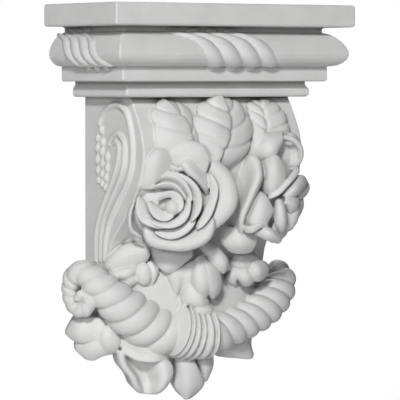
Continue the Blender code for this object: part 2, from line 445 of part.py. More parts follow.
def lower_leaves():
    """Leaves and loose petals that hang between the roses and the rope."""
    mound_x = np.linspace(-56, 56, 25)
    mound_z = np.linspace(4, -84, 23)
    gx, gz = np.meshgrid(mound_x, mound_z)
    bow = 14.0 * (np.abs(gx) / 56) ** 3
    mound = np.stack([gx, -(lower_stand(gz) - 5.0 - bow), gz], axis=-1)
    shapes = [skin(mound, 2.0, 14.0)]
    leaves = (
        # lines (right, up, out) as seen, puff, crease
        # left: a broad leaf and the one under it
        ((((-38.4, -45, 53), (-38, -37, 54), (-31, -30, 55), (-22, -25.6, 56), (-13, -27, 56), (-9.6, -33, 54)),
          ((-38.4, -45.2, 54.5), (-34, -38.5, 58), (-26, -33, 60), (-18, -31, 60), (-12, -31.5, 58.5),
           (-9.8, -33.6, 55)),
          ((-38.4, -47, 53), (-32, -45.0, 56), (-23, -42.4, 57), (-16, -40.6, 55), (-11.5, -37, 54),
           (-10, -34, 54))), 1.0, 0.0),
        ((((-38.4, -45.2, 53), (-30, -43, 58), (-23, -41.4, 59), (-17.6, -41, 56)), ((-38, -46, 54),
                                                                                     (-31, -46.4, 60),
                                                                                     (-24, -45.6, 61),
                                                                                     (-18, -43.6, 57)),
          ((-37, -47, 52), (-32, -49.8, 57), (-25, -49.6, 57), (-18.6, -46.4, 55))), 0.8, 0.0),
        ((((-11, -38, 55), (-8, -44, 56), (-10, -52, 53)), ((-8.6, -37, 55), (-5.4, -44, 56), (-7.6, -52.6, 52))),
         0.8, 0.0),
        # middle: a wedge under the rose, and the pointed leaf below it
        ((((-10, -29, 52), (-6, -39.4, 54), (-0.6, -44, 54), (3, -45, 52)), ((3, -27, 55), (3.4, -34, 58),
                                                                             (3.4, -40, 57), (3.2, -45, 53)),
          ((16, -27, 52), (18.5, -33, 52), (11.5, -40, 54), (3.6, -45, 52))), 0.6, 0.0),
        ((((-2, -41, 46), (1.4, -48, 48), (4.4, -55, 47), (7.4, -61.6, 43)), ((6, -40, 51), (7, -47, 52),
                                                                              (7.4, -54, 50), (7.6, -61.6, 44)),
          ((14, -38, 49), (13.4, -45, 50), (10.6, -53, 48), (7.8, -61.6, 43)), ((21.6, -36, 52), (20, -44, 51),
                                                                                (15, -52.6, 48), (8, -61.6, 43))),
                                                                                0.5, 0.0),
        # right of the middle: the bright heart-shaped leaf, the one behind it and the one under it
        ((((21.6, -34, 51), (17.4, -41, 50), (16.4, -49, 49), (18.6, -56, 48), (25.6, -61.6, 44)),
          ((22, -34.4, 52), (21.4, -42, 55), (21.4, -49.4, 56), (22.6, -56, 54), (26.6, -61, 46)),
          ((22.2, -34.4, 52), (26.4, -42.4, 54), (27.6, -49.4, 55), (28, -55, 52), (28, -57.6, 47)),
          ((22.4, -34.4, 52), (30.4, -42.4, 51), (32.6, -49.8, 51), (31.6, -57, 49), (29.6, -61.6, 44)),
          ((23, -34.2, 50), (33.2, -41.6, 47), (36.6, -49.3, 45), (35, -58, 43), (30, -62, 42))), 0.6, 0.5),
        ((((21, -28, 48), (27, -35, 48), (33, -42, 46), (37, -46, 42)), ((25, -26, 50), (32, -33, 50),
                                                                         (37, -39.6, 48), (38, -45, 43)),
          ((29, -24, 46), (36.4, -31, 45), (40.6, -37.6, 42), (38.4, -45, 40))), 0.8, 0.4),
        ((((13, -54, 45), (17, -54, 49), (22, -58, 50), (27.6, -63, 44)), ((10.6, -59.6, 46), (16, -60.6, 52),
                                                                           (22, -62.6, 52), (28, -64.6, 45)),
          ((8.6, -62.4, 44), (14.6, -66.6, 48), (22, -68, 48), (27.6, -66.4, 43))), 0.8, 0.0),
        # right: a lobed leaf turned over
        ((((44, -44, 24), (42, -38, 26), (45.6, -33, 26), (52, -31, 22)), ((48.6, -43.6, 27), (48.6, -38, 30),
                                                                           (51, -34, 28), (54, -31, 22)),
          ((53.4, -43, 25), (57, -40, 24), (60.4, -36, 19), (56, -31.6, 19))), 0.8, 0.5),
        ((((54, -43, 24), (56, -39, 25), (60, -36.8, 21), (65, -38.4, 14)), ((54.6, -44.6, 26), (59, -44, 28),
                                                                             (63, -43, 23), (66, -41.6, 15)),
          ((55, -46, 24), (58, -50.6, 22), (63.6, -48.6, 16), (66.4, -43, 12))), 0.8, 0.4),
        ((((44, -42, 26), (40, -45, 27), (38.6, -49, 25), (45.4, -52.4, 20)), ((46, -43, 27), (44, -46, 29),
                                                                               (43.4, -49.6, 27),
                                                                               (45.6, -52.6, 21)),
          ((47.6, -44, 26), (46.4, -47, 27), (45.6, -50, 25), (46, -52.6, 20))), 0.6, 0.0),
        ((((46, -43.6, 26), (46.4, -48, 27), (48.6, -51, 25), (52, -52.8, 19)), ((50, -43.6, 28), (51.4, -47.6, 30),
                                                                                 (52.4, -50.6, 27),
                                                                                 (52.6, -52.8, 20)),
          ((54.4, -43.4, 26), (57, -47, 25), (56.8, -50.4, 22), (53, -52.8, 18))), 0.8, 0.4),
    )
    for k, (lines, puff, crease) in enumerate(leaves):
        shapes.append(blade([seen(line) for line in lines], puff, thick=0.9, back=6.0, crease=crease,
                            veins=(0.4, 0.72) if k == 0 else (), notch=0.1 if k == 0 else 0.0))
    for place, size in (((-22.5, -48.6, 55), (6.4, 5.0, 5.6)), ((-13.4, -46, 55), (5.6, 5.6, 7.4))):
        shapes.append(ball(seen(place), size))
    return shapes


def rope():
    """The swag: a thick twisted rope, bound in the middle, that thins to a curled horn at each end."""
    left = ((9, -83.8, 38), (-2.8, -82.7, 45), (-14, -77, 51), (-25.7, -68.6, 57), (-34.2, -60.6, 61),
            (-41.6, -54, 63.5),
            (-47.6, -48, 64.5), (-52.6, -45, 64), (-57, -46.4, 61.5), (-59.4, -51.4, 59), (-60, -57.8, 58),
            (-58.8, -64, 58.5),
            (-55.4, -68, 61), (-50.8, -68, 64), (-48.4, -63.6, 66), (-50.6, -59.4, 66), (-54.8, -59.4, 65.5),
            (-56, -62.6, 65))
    right = ((9, -84, 38), (22, -84.4, 34), (36.4, -81.4, 26), (49.1, -76, 15), (59.2, -69.6, 5), (67.2, -62.4, -5),
             (72, -55.6, -14), (73.6, -49.6, -21), (71.6, -46, -27), (67.4, -48, -30), (66, -53, -30))
    arms = (
        # knots, turn of the strands, strands, run of each size below, thickness, length of a strand's bulge
        (left, -1, 2, (0, 14, 28, 44, 56, 66, 75, 86, 99, 116, 134),
         (16.4, 16.4, 16.0, 14.8, 12.8, 11.2, 9.6, 7.6, 6.2, 5.4, 2.8),
         (11.5, 11.5, 12.0, 12.0, 11.0, 9.4, 8.2, 7.0, 5.8, 5.0, 4.0)),
        (right, 1, 3, (0, 20, 36, 52, 70, 88, 104, 118, 132), (15.4, 14.2, 12.8, 13.2, 13.8, 12.8, 10.6, 8.0, 4.0),
         (10.6, 10.6, 10.6, 10.8, 11.0, 11.0, 10.4, 8.0, 6.0)),
    )
    shapes = []
    for knots, twist, strands, places, sizes, bulges in arms:
        line = path(seen(knots), 260)
        run = np.concatenate([[0], np.cumsum(np.linalg.norm(np.diff(line, axis=0), axis=1))])
        thick = follow(places, sizes, run)
        bulge = follow(places, bulges, run)
        phase = np.concatenate([[0], np.cumsum(np.diff(run) / bulge[1:])])
        turn = np.arange(72) / 72
        lobe = np.abs(np.sin(math.pi * (phase[:, None] - twist * strands * turn[None, :]))) ** 0.55
        shapes.append(tube(line, thick[:, None] * (1 - GROOVE + GROOVE * lobe)))
    bands = path(((-30.0, -42.6, -79.6), (-19.0, -43.2, -82.0), (-8.0, -43.4, -84.0), (4.0, -43.8, -83.8)), 120)
    along = np.linspace(0, 1, 120)
    edges = (0.0, 0.26, 0.47, 0.58, 0.63, 0.75, 0.91, 1.0)
    radius = np.full(120, ROPE_BANDS - 3.0)
    for k, (a, b) in enumerate(zip(edges[:-1], edges[1:])):
        inside = np.clip((along - a) / (b - a), 0, 1)
        low = 1.4 if k == 0 else 3.4
        if k != 3:
            round_top = np.sin(math.pi * inside) ** 0.5 * (inside > 0) * (inside < 1)
            radius = np.maximum(radius, ROPE_BANDS - low + low * round_top)
    radius = radius - 2.4 * np.clip(1 - along / 0.12, 0, 1) ** 2
    shapes.append(tube(bands, np.repeat(radius[:, None], 64, axis=1)))
    return shapes


def bottom_leaves():
    """Leaves that hang below the rope, their backs against the wall."""
    leaves = (
        # lines (right, up, out) as seen, puff
        # left: three lobes under the curl
        ((((-56, -70, 50), (-63, -85, 48), (-57, -89, 49)), ((-50, -72, 53), (-54, -84, 55), (-52, -90, 53)),
          ((-42, -74, 52), (-44, -84, 54), (-46, -89, 53)), ((-32, -76, 50), (-34, -86, 54), (-40, -91, 52))), 0.8),
        ((((-57, -86, 47), (-57.4, -94, 47), (-51, -100.4, 46)), ((-48, -86, 52), (-47, -94, 52),
                                                                  (-45.6, -101, 47)),
          ((-38, -86, 53), (-37, -93, 52), (-40, -98, 48)), ((-28, -84, 52), (-26.6, -90, 50), (-33, -97, 47))),
          0.8),
        # middle: the open leaf, its upper flap and its cup
        ((((-31, -84, 48), (-33, -93, 46), (-27, -106, 44), (-21, -119, 42), (-14, -124.4, 41)),
          ((-26, -84, 52), (-25, -94, 50), (-20, -106, 46), (-15, -117, 42), (-9.6, -124.6, 42)),
          ((-16, -84, 53), (-14, -96, 47), (-11, -107, 44), (-8, -117, 44), (-5, -124, 43)),
          ((-4, -86, 52), (-3, -99, 44), (-1, -108, 46), (0, -116, 46), (0, -121.4, 42)),
          ((4, -88, 48), (3, -99, 40), (6.4, -106.6, 42), (6, -114, 42), (3, -119, 40))), 0.6),
        ((((-32, -84, 50), (-20, -88, 54), (-8, -94, 52), (2, -98.6, 46)), ((-31, -90, 52), (-20, -95, 55),
                                                                            (-8, -99.4, 51), (2, -100.6, 45)),
          ((-29, -97, 48), (-20, -101.6, 49), (-9, -102.6, 47), (1.6, -102, 43))), 0.6),
        # right of the middle: a folded leaf that ends in a point, and two behind it
        ((((4, -96, 38), (7, -108, 37), (6, -117, 35), (13, -126.4, 32)), ((9, -96, 42), (13, -108, 42),
                                                                           (15, -118, 39), (14, -126.4, 33)),
          ((14, -96, 40), (20, -108, 38), (22, -116, 34), (15, -126, 31)), ((16, -98, 34), (21.6, -110, 31),
                                                                            (25, -115, 28), (16, -125.6, 29))),
                                                                            0.6),
        ((((12, -98, 28), (20, -106, 28), (23, -115, 24)), ((20, -96, 32), (25, -104, 31), (25, -115, 25)),
          ((31, -94, 28), (31, -104, 24), (26, -115, 22))), 0.8),
        ((((28, -84, 12), (31, -92, 10), (33, -98.6, 6)), ((38, -84, 14), (40, -92, 13), (44, -99.4, 6)),
          ((50, -82, 8), (51, -91, 6), (54.4, -100.4, 0)),
          ((58, -80, -4), (55, -90, -4), (56.6, -97.6, -8))), 0.8),
    )
    shapes = []
    for lines, puff in leaves:
        shapes.append(blade([seen(line) for line in lines], puff, thick=1.2, back=44.0, rear=LEAF_BACK, rim=5))
    shapes.append(ball(seen((-33.0, -84.0, 46.0)), (8.0, 8.0, 7.0)))
    return shapes


def scroll_side(side):
    """Beads and leaf buds on one flank: long ribs that spring from the foot and arch over at the top."""
    ribs = (
        ((-14.8, -35.6), (-23.2, -23.7), (-33.9, -6.6), (-44.5, 7.1), (-52.0, 19.3), (-55.6, 32.6), (-54.5, 42.7),
         (-51.0, 52.7), (-45.5, 60.0), (-37.4, 63.0), (-28.0, 60.1), (-19.5, 53.5), (-16.0, 46.5), (-14.0, 40.0)),
        ((-12.0, -33.0), (-20.8, -12.3), (-30.0, 2.1), (-39.5, 14.5), (-46.8, 28.0), (-47.6, 38.0), (-41.0, 44.3),
         (-33.0, 40.5), (-29.5, 35.5)),
        ((-11.0, -20.0), (-18.6, -2.4), (-27.8, 9.4), (-36.3, 22.4), (-39.6, 33.2), (-36.3, 39.5)),
    )
    shapes = []
    for rib in ribs:
        line = path([(side * DRAWN_SIDE, y, z) for y, z in rib], 70)
        size = SIDE_BEAD * np.sin(math.pi * np.linspace(0.06, 0.94, 70)) ** 0.3
        shapes.append(tube(line, np.repeat(size[:, None], 10, axis=1), across=(1, 0, 0)))
    buds = ((-15.5, 47.0, 3.6), (-22.0, 43.0, 4.4), (-14.0, 36.5, 4.0), (-21.0, 33.5, 5.2), (-15.0, 26.5, 4.4),
            (-22.5, 23.5, 4.6), (-16.0, 17.5, 4.0), (-22.5, 13.5, 3.8), (-18.0, 8.5, 3.0))
    for y, z, size in buds:
        shapes.append(ball((side * DRAWN_SIDE, y, z), (2.6, size * 0.72, size), 8, 10))
    return shapes


def torus_point(height, face=0):
    """How far the torus is set back at a height above its widest line. face: 0 on the front, -1 and 1 on the sides."""
    upper = np.clip(height / TORUS_UPPER, 0, 1)
    lower = np.clip(-height / TORUS_LOWER, 0, 1)
    above = (1 - upper ** (2 / TORUS_FULLNESS)) ** (TORUS_FULLNESS / 2)
    swell = np.where(height > 0, above, np.sqrt(1 - lower ** 2))
    edge = np.where(height > 0, NECK_SETBACK, FILLET_SETBACK)
    widest = TORUS_SIDE_SETBACK if face else TORUS_SETBACK
    return edge - (edge - widest) * swell


def on_face(face, along, stand, height):
    """Places on the front (face 0), along measured from its middle, or on a side, along measured from the wall.
    stand: how far they are set back from the slab's face there."""
    along, stand, height = np.broadcast_arrays(along, stand, height)
    if face == 0:
        return np.stack([along, stand - DEPTH, height], axis=-1)
    return np.stack([face * (HALF - stand), -along, height], axis=-1)


def torus_wrap(face):
    """Twisted leaf wrapped round the middle of the torus: ridges side by side that end in lobes below and above."""
    spacing, slant, middle = (WRAP_RIDGE, 1.0, 0.0) if face == 0 else (WRAP_RIDGE * 0.74, 1.25, DEPTH * 0.42)
    level = np.linspace(0.97, -0.98, WRAP_ROWS)[:, None]
    height = level * np.where(level > 0, TORUS_UPPER, TORUS_LOWER)
    ridge = np.linspace(-2, 2, WRAP_COLUMNS)[None, :]
    slide = slant * follow(WRAP_LEVEL, WRAP_SLIDE, level.ravel())[:, None]
    rise = WRAP_RISE * np.abs(np.sin(math.pi * ridge)) ** 0.6 * np.ones_like(level)
    sheet = on_face(face, middle + ridge * spacing + slide, torus_point(height, face) + 0.7, TORUS_MIDDLE + height)
    if face == 1:
        sheet = sheet[:, ::-1]
        rise = rise[:, ::-1]
    shapes = [skin(sheet, rise, 3.0)]
    wide = 0.36 * spacing
    for k in (-1.5, -0.5, 0.5):
        along = middle + k * spacing + slant * WRAP_SLIDE[0]
        size = (wide, 1.6, 2.8) if face == 0 else (1.6, wide, 2.8)
        shapes.append(ball(on_face(face, along, FILLET_SETBACK + 0.2, FILLET_TOP - 0.6), size, 9, 12))
        along = middle + (k + 1) * spacing + slant * WRAP_SLIDE[-2]
        shapes.append(ball(on_face(face, along, NECK_SETBACK + 0.2, TORUS_TOP), size, 9, 12))
    return shapes


# Assembly

def plan(half, depth, z):
    """Outline of the block at one height: square against the wall, with its two front corners rounded."""
    points = [(-half, 0.0, z)]
    for side, first in ((-1, 180), (1, 270)):
        for k in range(CORNER_STEPS + 1):
            angle = math.radians(first + 90 * k / CORNER_STEPS)
            points.append((side * (half - PLAN_CORNER) + PLAN_CORNER * math.cos(angle),
                           -(depth - PLAN_CORNER) + PLAN_CORNER * math.sin(angle), z))
    points.append((half, 0.0, z))
    return points


def block_levels():
    """Each line of the mouldings from the top down: its setback on the front and on the sides, and its height."""
    levels = []
    for k in range(EDGE_STEPS + 1):
        turn = math.pi / 2 * k / EDGE_STEPS
        edge = SLAB_EDGE * (1 - math.sin(turn))
        levels.append((edge, edge, TOP - SLAB_EDGE * (1 - math.cos(turn))))
    for k in range(EDGE_STEPS + 1):
        turn = math.pi / 2 * k / EDGE_STEPS
        edge = SLAB_EDGE * (1 - math.cos(turn))
        levels.append((edge, edge, TOP - SLAB_HEIGHT + SLAB_EDGE * (1 - math.sin(turn))))
    for share in (0.0, 0.3):
        cove = NECK_SETBACK - NECK_COVE * (1 - share / 0.3)
        levels.append((cove, cove, TOP - SLAB_HEIGHT - 0.01 - NECK_HEIGHT * share))
    for level in (1.0, 0.92, 0.78, 0.58, 0.34, 0.12, -0.12, -0.45, -0.72, -0.9, -1.0):
        height = level * (TORUS_UPPER if level > 0 else TORUS_LOWER)
        levels.append((float(torus_point(height)), float(torus_point(height, 1)), TORUS_MIDDLE + height))
    neck = STEP_SETBACK + STEP_NECK
    for setback, z in ((FILLET_SETBACK, STEP_TOP + 1.0), (FILLET_SETBACK + 1.0, STEP_TOP), (neck, STEP_TOP - 0.01),
                       (neck, STEP_TOP - 0.2 * STEP_HEIGHT), (STEP_SETBACK, STEP_TOP - 0.5 * STEP_HEIGHT),
                       (STEP_SETBACK, BODY_TOP + 1.4), (STEP_SETBACK + 1.4, BODY_TOP)):
        levels.append((setback, setback, z))
    return levels


def block(inset=0.0):
    """The moulded block; inset: how far its skin is drawn in all round."""
    rings = [plan(HALF - aside - inset, DEPTH - ahead - inset, z) for ahead, aside, z in block_levels()]
    for share in np.concatenate([[0.0002], np.linspace(0.04, 1, BODY_RINGS)]):
        stand = front(DRAWN_TOP - share * DRAWN_HEIGHT) * DEPTH / DRAWN_DEPTH
        rings.append(plan(SIDE - inset, float(stand) - inset, BODY_TOP - share * BODY_HEIGHT))
    size = len(rings[0])
    points = np.array(rings).reshape(-1, 3)
    faces = [list(range(size)), list(range((len(rings) - 1) * size, len(rings) * size))[::-1]]
    for i in range(len(rings) - 1):
        for j in range(size):
            k = (j + 1) % size
            faces.append([i * size + j, (i + 1) * size + j, (i + 1) * size + k, i * size + k])
    return points, faces


def make_object(name, shapes):
    mesh = bpy.data.meshes.new(name)
    points, faces, first = [], [], 0
    for shape_points, shape_faces in shapes:
        points.append(np.asarray(shape_points) * MM)
        faces.extend([[first + v for v in face] for face in shape_faces])
        first += len(shape_points)
    mesh.from_pydata(np.concatenate(points).tolist(), [], faces)
    bm = bmesh.new()
    bm.from_mesh(mesh)
    bmesh.ops.recalc_face_normals(bm, faces=bm.faces)
    bm.to_mesh(mesh)
    bm.free()
    obj = bpy.data.objects.new(name, mesh)
    bpy.context.scene.collection.objects.link(obj)
    return obj


def bake(obj):
    """Turns what the modifiers make into the object's own mesh."""
    graph = bpy.context.evaluated_depsgraph_get()
    mesh = bpy.data.meshes.new_from_object(obj.evaluated_get(graph))
    obj.modifiers.clear()
    obj.data = mesh


def largest_island(obj):
    """Keeps the biggest joined body of the mesh and drops loose crumbs."""
    bm = bmesh.new()
    bm.from_mesh(obj.data)
    left = set(bm.verts)
    islands = []
    while left:
        stack = [left.pop()]
        island = list(stack)
        while stack:
            for edge in stack.pop().link_edges:
                for vert in edge.verts:
                    if vert in left:
                        left.remove(vert)
                        stack.append(vert)
                        island.append(vert)
        islands.append(island)
    islands.sort(key=len)
    loose = [vert for island in islands[:-1] for vert in island]
    bmesh.ops.delete(bm, geom=loose, context="VERTS")
    bm.to_mesh(obj.data)
    bm.free()


def carving_shapes():
    shapes = face_rose() + side_rose() + top_leaves() + lower_leaves() + rope() + bottom_leaves()
    for side in (-1, 1):
        shapes += scroll_side(side)
    shapes = [(fit(points), faces) for points, faces in shapes]
    for face in (-1, 0, 1):
        shapes += torus_wrap(face)
    return shapes


def cutter(name, low, high):
    """Box that cuts the part: it stays out of the model."""
    bm = bmesh.new()
    bmesh.ops.create_cube(bm, size=1.0)
    for vert in bm.verts:
        for axis in range(3):
            vert.co[axis] = (low[axis] if vert.co[axis] < 0 else high[axis]) * MM
    mesh = bpy.data.meshes.new(name)
    bm.to_mesh(mesh)
    bm.free()
    obj = bpy.data.objects.new(name, mesh)
    bpy.context.scene.collection.objects.link(obj)
    return obj


def join_by(obj, other, operation, solver="EXACT"):
    boolean = obj.modifiers.new(operation.lower(), "BOOLEAN")
    boolean.operation = operation
    boolean.solver = solver
    boolean.object = other
    bake(obj)
    bpy.data.objects.remove(other, do_unlink=True)


def triangle_count(obj):
    obj.data.calc_loop_triangles()
    return len(obj.data.loop_triangles)


def plaster():
    material = bpy.data.materials.new("cast")
    material.use_nodes = True
    shader = material.node_tree.nodes["Principled BSDF"]
    shader.inputs["Base Color"].default_value = COLOUR
    shader.inputs["Roughness"].default_value = ROUGHNESS
    shader.inputs["Metallic"].default_value = 0.0
    return material


def fuse(obj):
    """Melts overlapping shapes into one even mesh."""
    remesh = obj.modifiers.new("fuse", "REMESH")
    remesh.mode = "VOXEL"
    remesh.voxel_size = VOXEL * MM
    bake(obj)


def build():
    for obj in list(bpy.data.objects):
        bpy.data.objects.remove(obj, do_unlink=True)
    carving = make_object("carving", carving_shapes())
    fuse(carving)
    join_by(carving, make_object("core", [block(BURIED)]), "DIFFERENCE")
    fuse(carving)
    soften = carving.modifiers.new("soften", "SMOOTH")
    soften.factor = 0.5
    soften.iterations = 2
    decimate = carving.modifiers.new("thin_out", "DECIMATE")
    decimate.ratio = TRIANGLES / triangle_count(carving)
    decimate.use_collapse_triangulate = True
    bake(carving)
    corbel = make_object("corbel", [block()])
    # The thinned-out carving can cross itself at other sizes, where only this solver keeps the body closed
    join_by(corbel, carving, "UNION", "MANIFOLD")
    wall = cutter("wall", (-2 * WIDTH, 0.0, -2 * WIDTH), (2 * WIDTH, 2 * DEPTH, 2 * WIDTH))
    join_by(corbel, wall, "DIFFERENCE", "MANIFOLD")
    largest_island(corbel)
    corbel.data.materials.clear()
    corbel.data.materials.append(plaster())
    corbel.data.shade_smooth()
    corbel.data.set_sharp_from_angle(angle=math.radians(50))
    return corbel


if __name__ == "__main__":
    build()
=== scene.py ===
"""A wall corbel cast in one piece, dressed in full carving over its frame.

Sizes are millimetres, and MM turns them into Blender's metres. X runs to the right as the front is faced,
-Y comes out of the wall, which is the plane y = 0, and Z runs up from the middle of the corbel's back.
"""
import math

import bmesh
import bpy
import numpy as np
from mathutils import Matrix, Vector


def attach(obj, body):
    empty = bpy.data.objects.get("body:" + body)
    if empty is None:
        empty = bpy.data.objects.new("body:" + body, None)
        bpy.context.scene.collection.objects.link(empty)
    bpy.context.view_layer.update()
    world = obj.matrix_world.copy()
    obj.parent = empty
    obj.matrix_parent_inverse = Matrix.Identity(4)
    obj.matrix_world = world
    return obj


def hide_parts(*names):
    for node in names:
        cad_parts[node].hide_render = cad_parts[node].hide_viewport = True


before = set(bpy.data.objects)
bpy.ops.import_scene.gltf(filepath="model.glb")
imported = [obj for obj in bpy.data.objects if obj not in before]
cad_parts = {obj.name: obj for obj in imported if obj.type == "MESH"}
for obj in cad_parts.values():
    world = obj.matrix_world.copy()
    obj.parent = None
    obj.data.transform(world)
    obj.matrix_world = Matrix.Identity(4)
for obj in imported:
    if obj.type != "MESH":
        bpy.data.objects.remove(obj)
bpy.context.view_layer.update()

MM = 0.001
INTO_WALL = (0, 1, 0)
LEAF_BACK = (0.42, 0.907, 0)

# The block: the shelf's outer size, and how far each moulding below it is set back
WIDTH = 184.4
DEPTH = 85.4
TOP = 127.0
SLAB_HEIGHT = 14.4
SLAB_EDGE = 1.7
NECK_HEIGHT = 3.4
NECK_SETBACK = 15.3
NECK_COVE = 1.6
TORUS_UPPER = 13.7
TORUS_LOWER = 8.4
TORUS_SETBACK = 1.6
TORUS_SIDE_SETBACK = 3.5
TORUS_FULLNESS = 1.25
FILLET_HEIGHT = 9.5
FILLET_SETBACK = 13.0
STEP_HEIGHT = 9.9
STEP_SETBACK = 21.4
STEP_NECK = 1.8
BODY_SETBACK = 30.7
BODY_HEIGHT = 151.5
PLAN_CORNER = 1.2
CORNER_STEPS = 2
EDGE_STEPS = 2
BODY_RINGS = 18
# Where the body's first rings and the coves' ends lie, as shares; FLAT keeps a level face's lines apart
BODY_START = (0.0002, 0.04)
FLAT = 0.01
COVE_END = 0.3
FILLET_EDGE = 1.0
STEP_EDGE = 1.4
STEP_NECK_END = 0.2
STEP_COVE_END = 0.5
TORUS_LEVELS = (1, 0.92, 0.78, 0.58, 0.34, 0.12, -0.12, -0.45, -0.72, -0.9, -1)

# The size that the carving and the scrolled front are drawn at; fit() stretches them to the block's own sizes
DRAWN_SIDE = 61.5
DRAWN_DEPTH = 85.4
DRAWN_TOP = 67.7
DRAWN_HEIGHT = 151.5

# The scrolled front of the body: how far it stands off the wall, by depth below the step
BODY_DROP = (0, 13, 26, 33, 41, 52, 64, 76, 92, 112, 151.5)
BODY_STAND = (53.3, 61.5, 67.6, 69, 68.4, 64.6, 58.7, 47.4, 31.7, 24.6, 22)

# How the carving is made: the cells that melt its shapes into one, and the triangles that are left of it
VOXEL = 0.55
TRIANGLES = 180000
SOFTEN = 0.5
SOFTEN_TIMES = 2
SHARP_ANGLE = 50.0
PATH_CHECKS = 6
TUBE_END = 0.35

# Leaves and petals: points along and across a fine leaf; the widths are shares of the leaf
FINE = (60, 49)
PUFF_LEAST = 0.55
PUFF_MORE = 0.45
ROOT_MARGIN = 0.2
TIP_LIMIT = 1.15
VEIN_WIDTH = 0.028
VEIN_DEPTH = 1.1
MIDRIB_WIDTH = 0.09
MIDRIB_FADE = 1.3
FOLD_WIDTH = 0.05
PETAL_ROWS = 22
PETAL_COLUMNS = 13
PETAL_DEGREES = 4
PETAL_RIM = 8
BAND_TAPER = 0.75
PETAL_END = 0.6
ROLL_START = 0.75
HEART = 0.3
PAD_GRID = (12, 16)

# The curled leaf's lip: half its thickness, and the part of a full taper that it shows
LIP = 2.0
LIP_SPAN = (0.1, 0.94)
LIP_TAPER = 0.4
LIP_POINTS = 40
LIP_SIDES = 12

# The mound under the lower leaves: by height, how far it stands out
MOUND_SIDE = 56
MOUND_ENDS = (4, -84)
MOUND_GRID = (25, 23)
MOUND_SKIN = (2, 14)
MOUND_BOW = 14.0
MOUND_SUNK = 5.0
MOUND_LEVELS = (-90, -72, -58, -40, -20, 0)
MOUND_STANDS = (44, 49, 47, 44, 47, 56)

# Rope, with the bands that bind it
ROPE_POINTS = 260
ROPE_SIDES = 72
ROPE_ROUND = 0.55
GROOVE = 0.19
BANDS = 18.0
BAND_POINTS = 120
BAND_SIDES = 64
BAND_EDGES = (0, 0.13, 0.25, 0.447, 0.603, 0.878, 1)
BAND_GROOVE = 3.8
BAND_FULLNESS = 0.7
FIRST_BAND_DROP = 0.6

# Ribs and buds on the flanks
RIB = 2.6
RIB_SPAN = (0.06, 0.94)
RIB_POINTS = 70
RIB_SIDES = 10
RIB_TAPER = 0.3
BUD_STAND = 2.2
BUD_WIDTH = 0.8
BUD_GRID = (8, 10)

# The twisted leaf wrapped round the torus, and the lobes that its ridges end in
WRAP_RIDGE = 14.3
WRAP_RISE = 2.6
WRAP_ROUND = 0.6
WRAP_ROWS = 24
WRAP_COLUMNS = 65
WRAP_ENDS = (0.97, -0.98)
WRAP_SUNK = 0.7
WRAP_BACK = 3.0
WRAP_LEVEL = (-1, -0.81, -0.32, 0.25, 0.61, 0.89, 1)
WRAP_SLIDE = (9.8, 8, 3.6, -0.8, -6.1, -18.1, -24)
SIDE_RIDGE = 0.74
SIDE_SLANT = 1.25
SIDE_PLACE = 0.42
LOBE_WIDTH = 0.36
LOBE_STAND = 1.6
LOBE_HEIGHT = 2.8
LOBE_SUNK = 0.2
LOBE_DROP = 0.6
LOBE_GRID = (9, 12)

# Casting pits (x, y, z), and the one on the scrolled front (x, z)
PIT = 0.8
PIT_GRID = (6, 8)
FRONT_PIT = (-12.6, 64.6)
PITS = ((44.5, -71, 112.1), (64.5, -71, 111.6))

# Finish: the cast's tone, and painted shade, a darker tone painted into deep recesses where shade falls; the
# painted shade's reach and the grain's height are metres
TONE_LOW = (0.60, 0.60, 0.595, 1.0)
TONE_HIGH = (0.65, 0.65, 0.645, 1.0)
TONE_STOPS = (0.3, 0.7)
PAINTED_SHADE_TONE = (0.18, 0.18, 0.175, 1.0)
PAINTED_SHADE_REACH = 0.005
PAINTED_SHADE_RANGE = (0.1, 0.75)
PAINTED_SHADE_SAMPLES = 6
ROUGHNESS = 0.62
SPECULAR = 0.35
MOTTLE_SCALE = 60.0
MOTTLE_DETAIL = 3.0
GRAIN_SCALE = 900.0
GRAIN_DETAIL = 4.0
GRAIN_STRENGTH = 0.12
GRAIN_HEIGHT = 0.0003

# Studio, in metres
# The sky's level by how far round towards the back it is: 0 behind the viewer, 1 straight behind the corbel
SKY = ((0, 0.08), (0.5, 0.055), (0.985, 0.05), (0.993, 1))
# name, degrees left of the front, degrees up, watts, size
LIGHTS = (("key", 39, 25, 60, 0.35), ("low", 46, 8, 20, 0.35), ("fill", -145, 32, 45, 1.2))
LIGHT_FROM = 3.0
FLOOR = -0.45
FLOOR_SIZE = 3.0
FLOOR_TONE = (0.8, 0.8, 0.8, 1)
FLOOR_ROUGHNESS = 0.9

# Camera, in millimetres; FOCAL and the two shifts over it are in 400ths of the picture's width
VIEW_TURN = math.radians(33.525)
FOCAL = 3000
VIEW_SIDEWAYS = 35.29 / FOCAL
VIEW_DROP = 123.5 / FOCAL
VIEW_FROM = 1970.0
DRAWN_AT = 50.0
EYE = 80.8
LENS = 270.0
SENSOR = 36.0

HALF = WIDTH / 2
TORUS_TOP = TOP - SLAB_HEIGHT - NECK_HEIGHT
TORUS_MIDDLE = TORUS_TOP - TORUS_UPPER
FILLET_TOP = TORUS_MIDDLE - TORUS_LOWER
STEP_TOP = FILLET_TOP - FILLET_HEIGHT
BODY_TOP = STEP_TOP - STEP_HEIGHT
SIDE = HALF - BODY_SETBACK


def unit(vectors):
    vectors = np.asarray(vectors, float)
    return vectors / np.maximum(np.linalg.norm(vectors, axis=-1, keepdims=True), 1e-9)


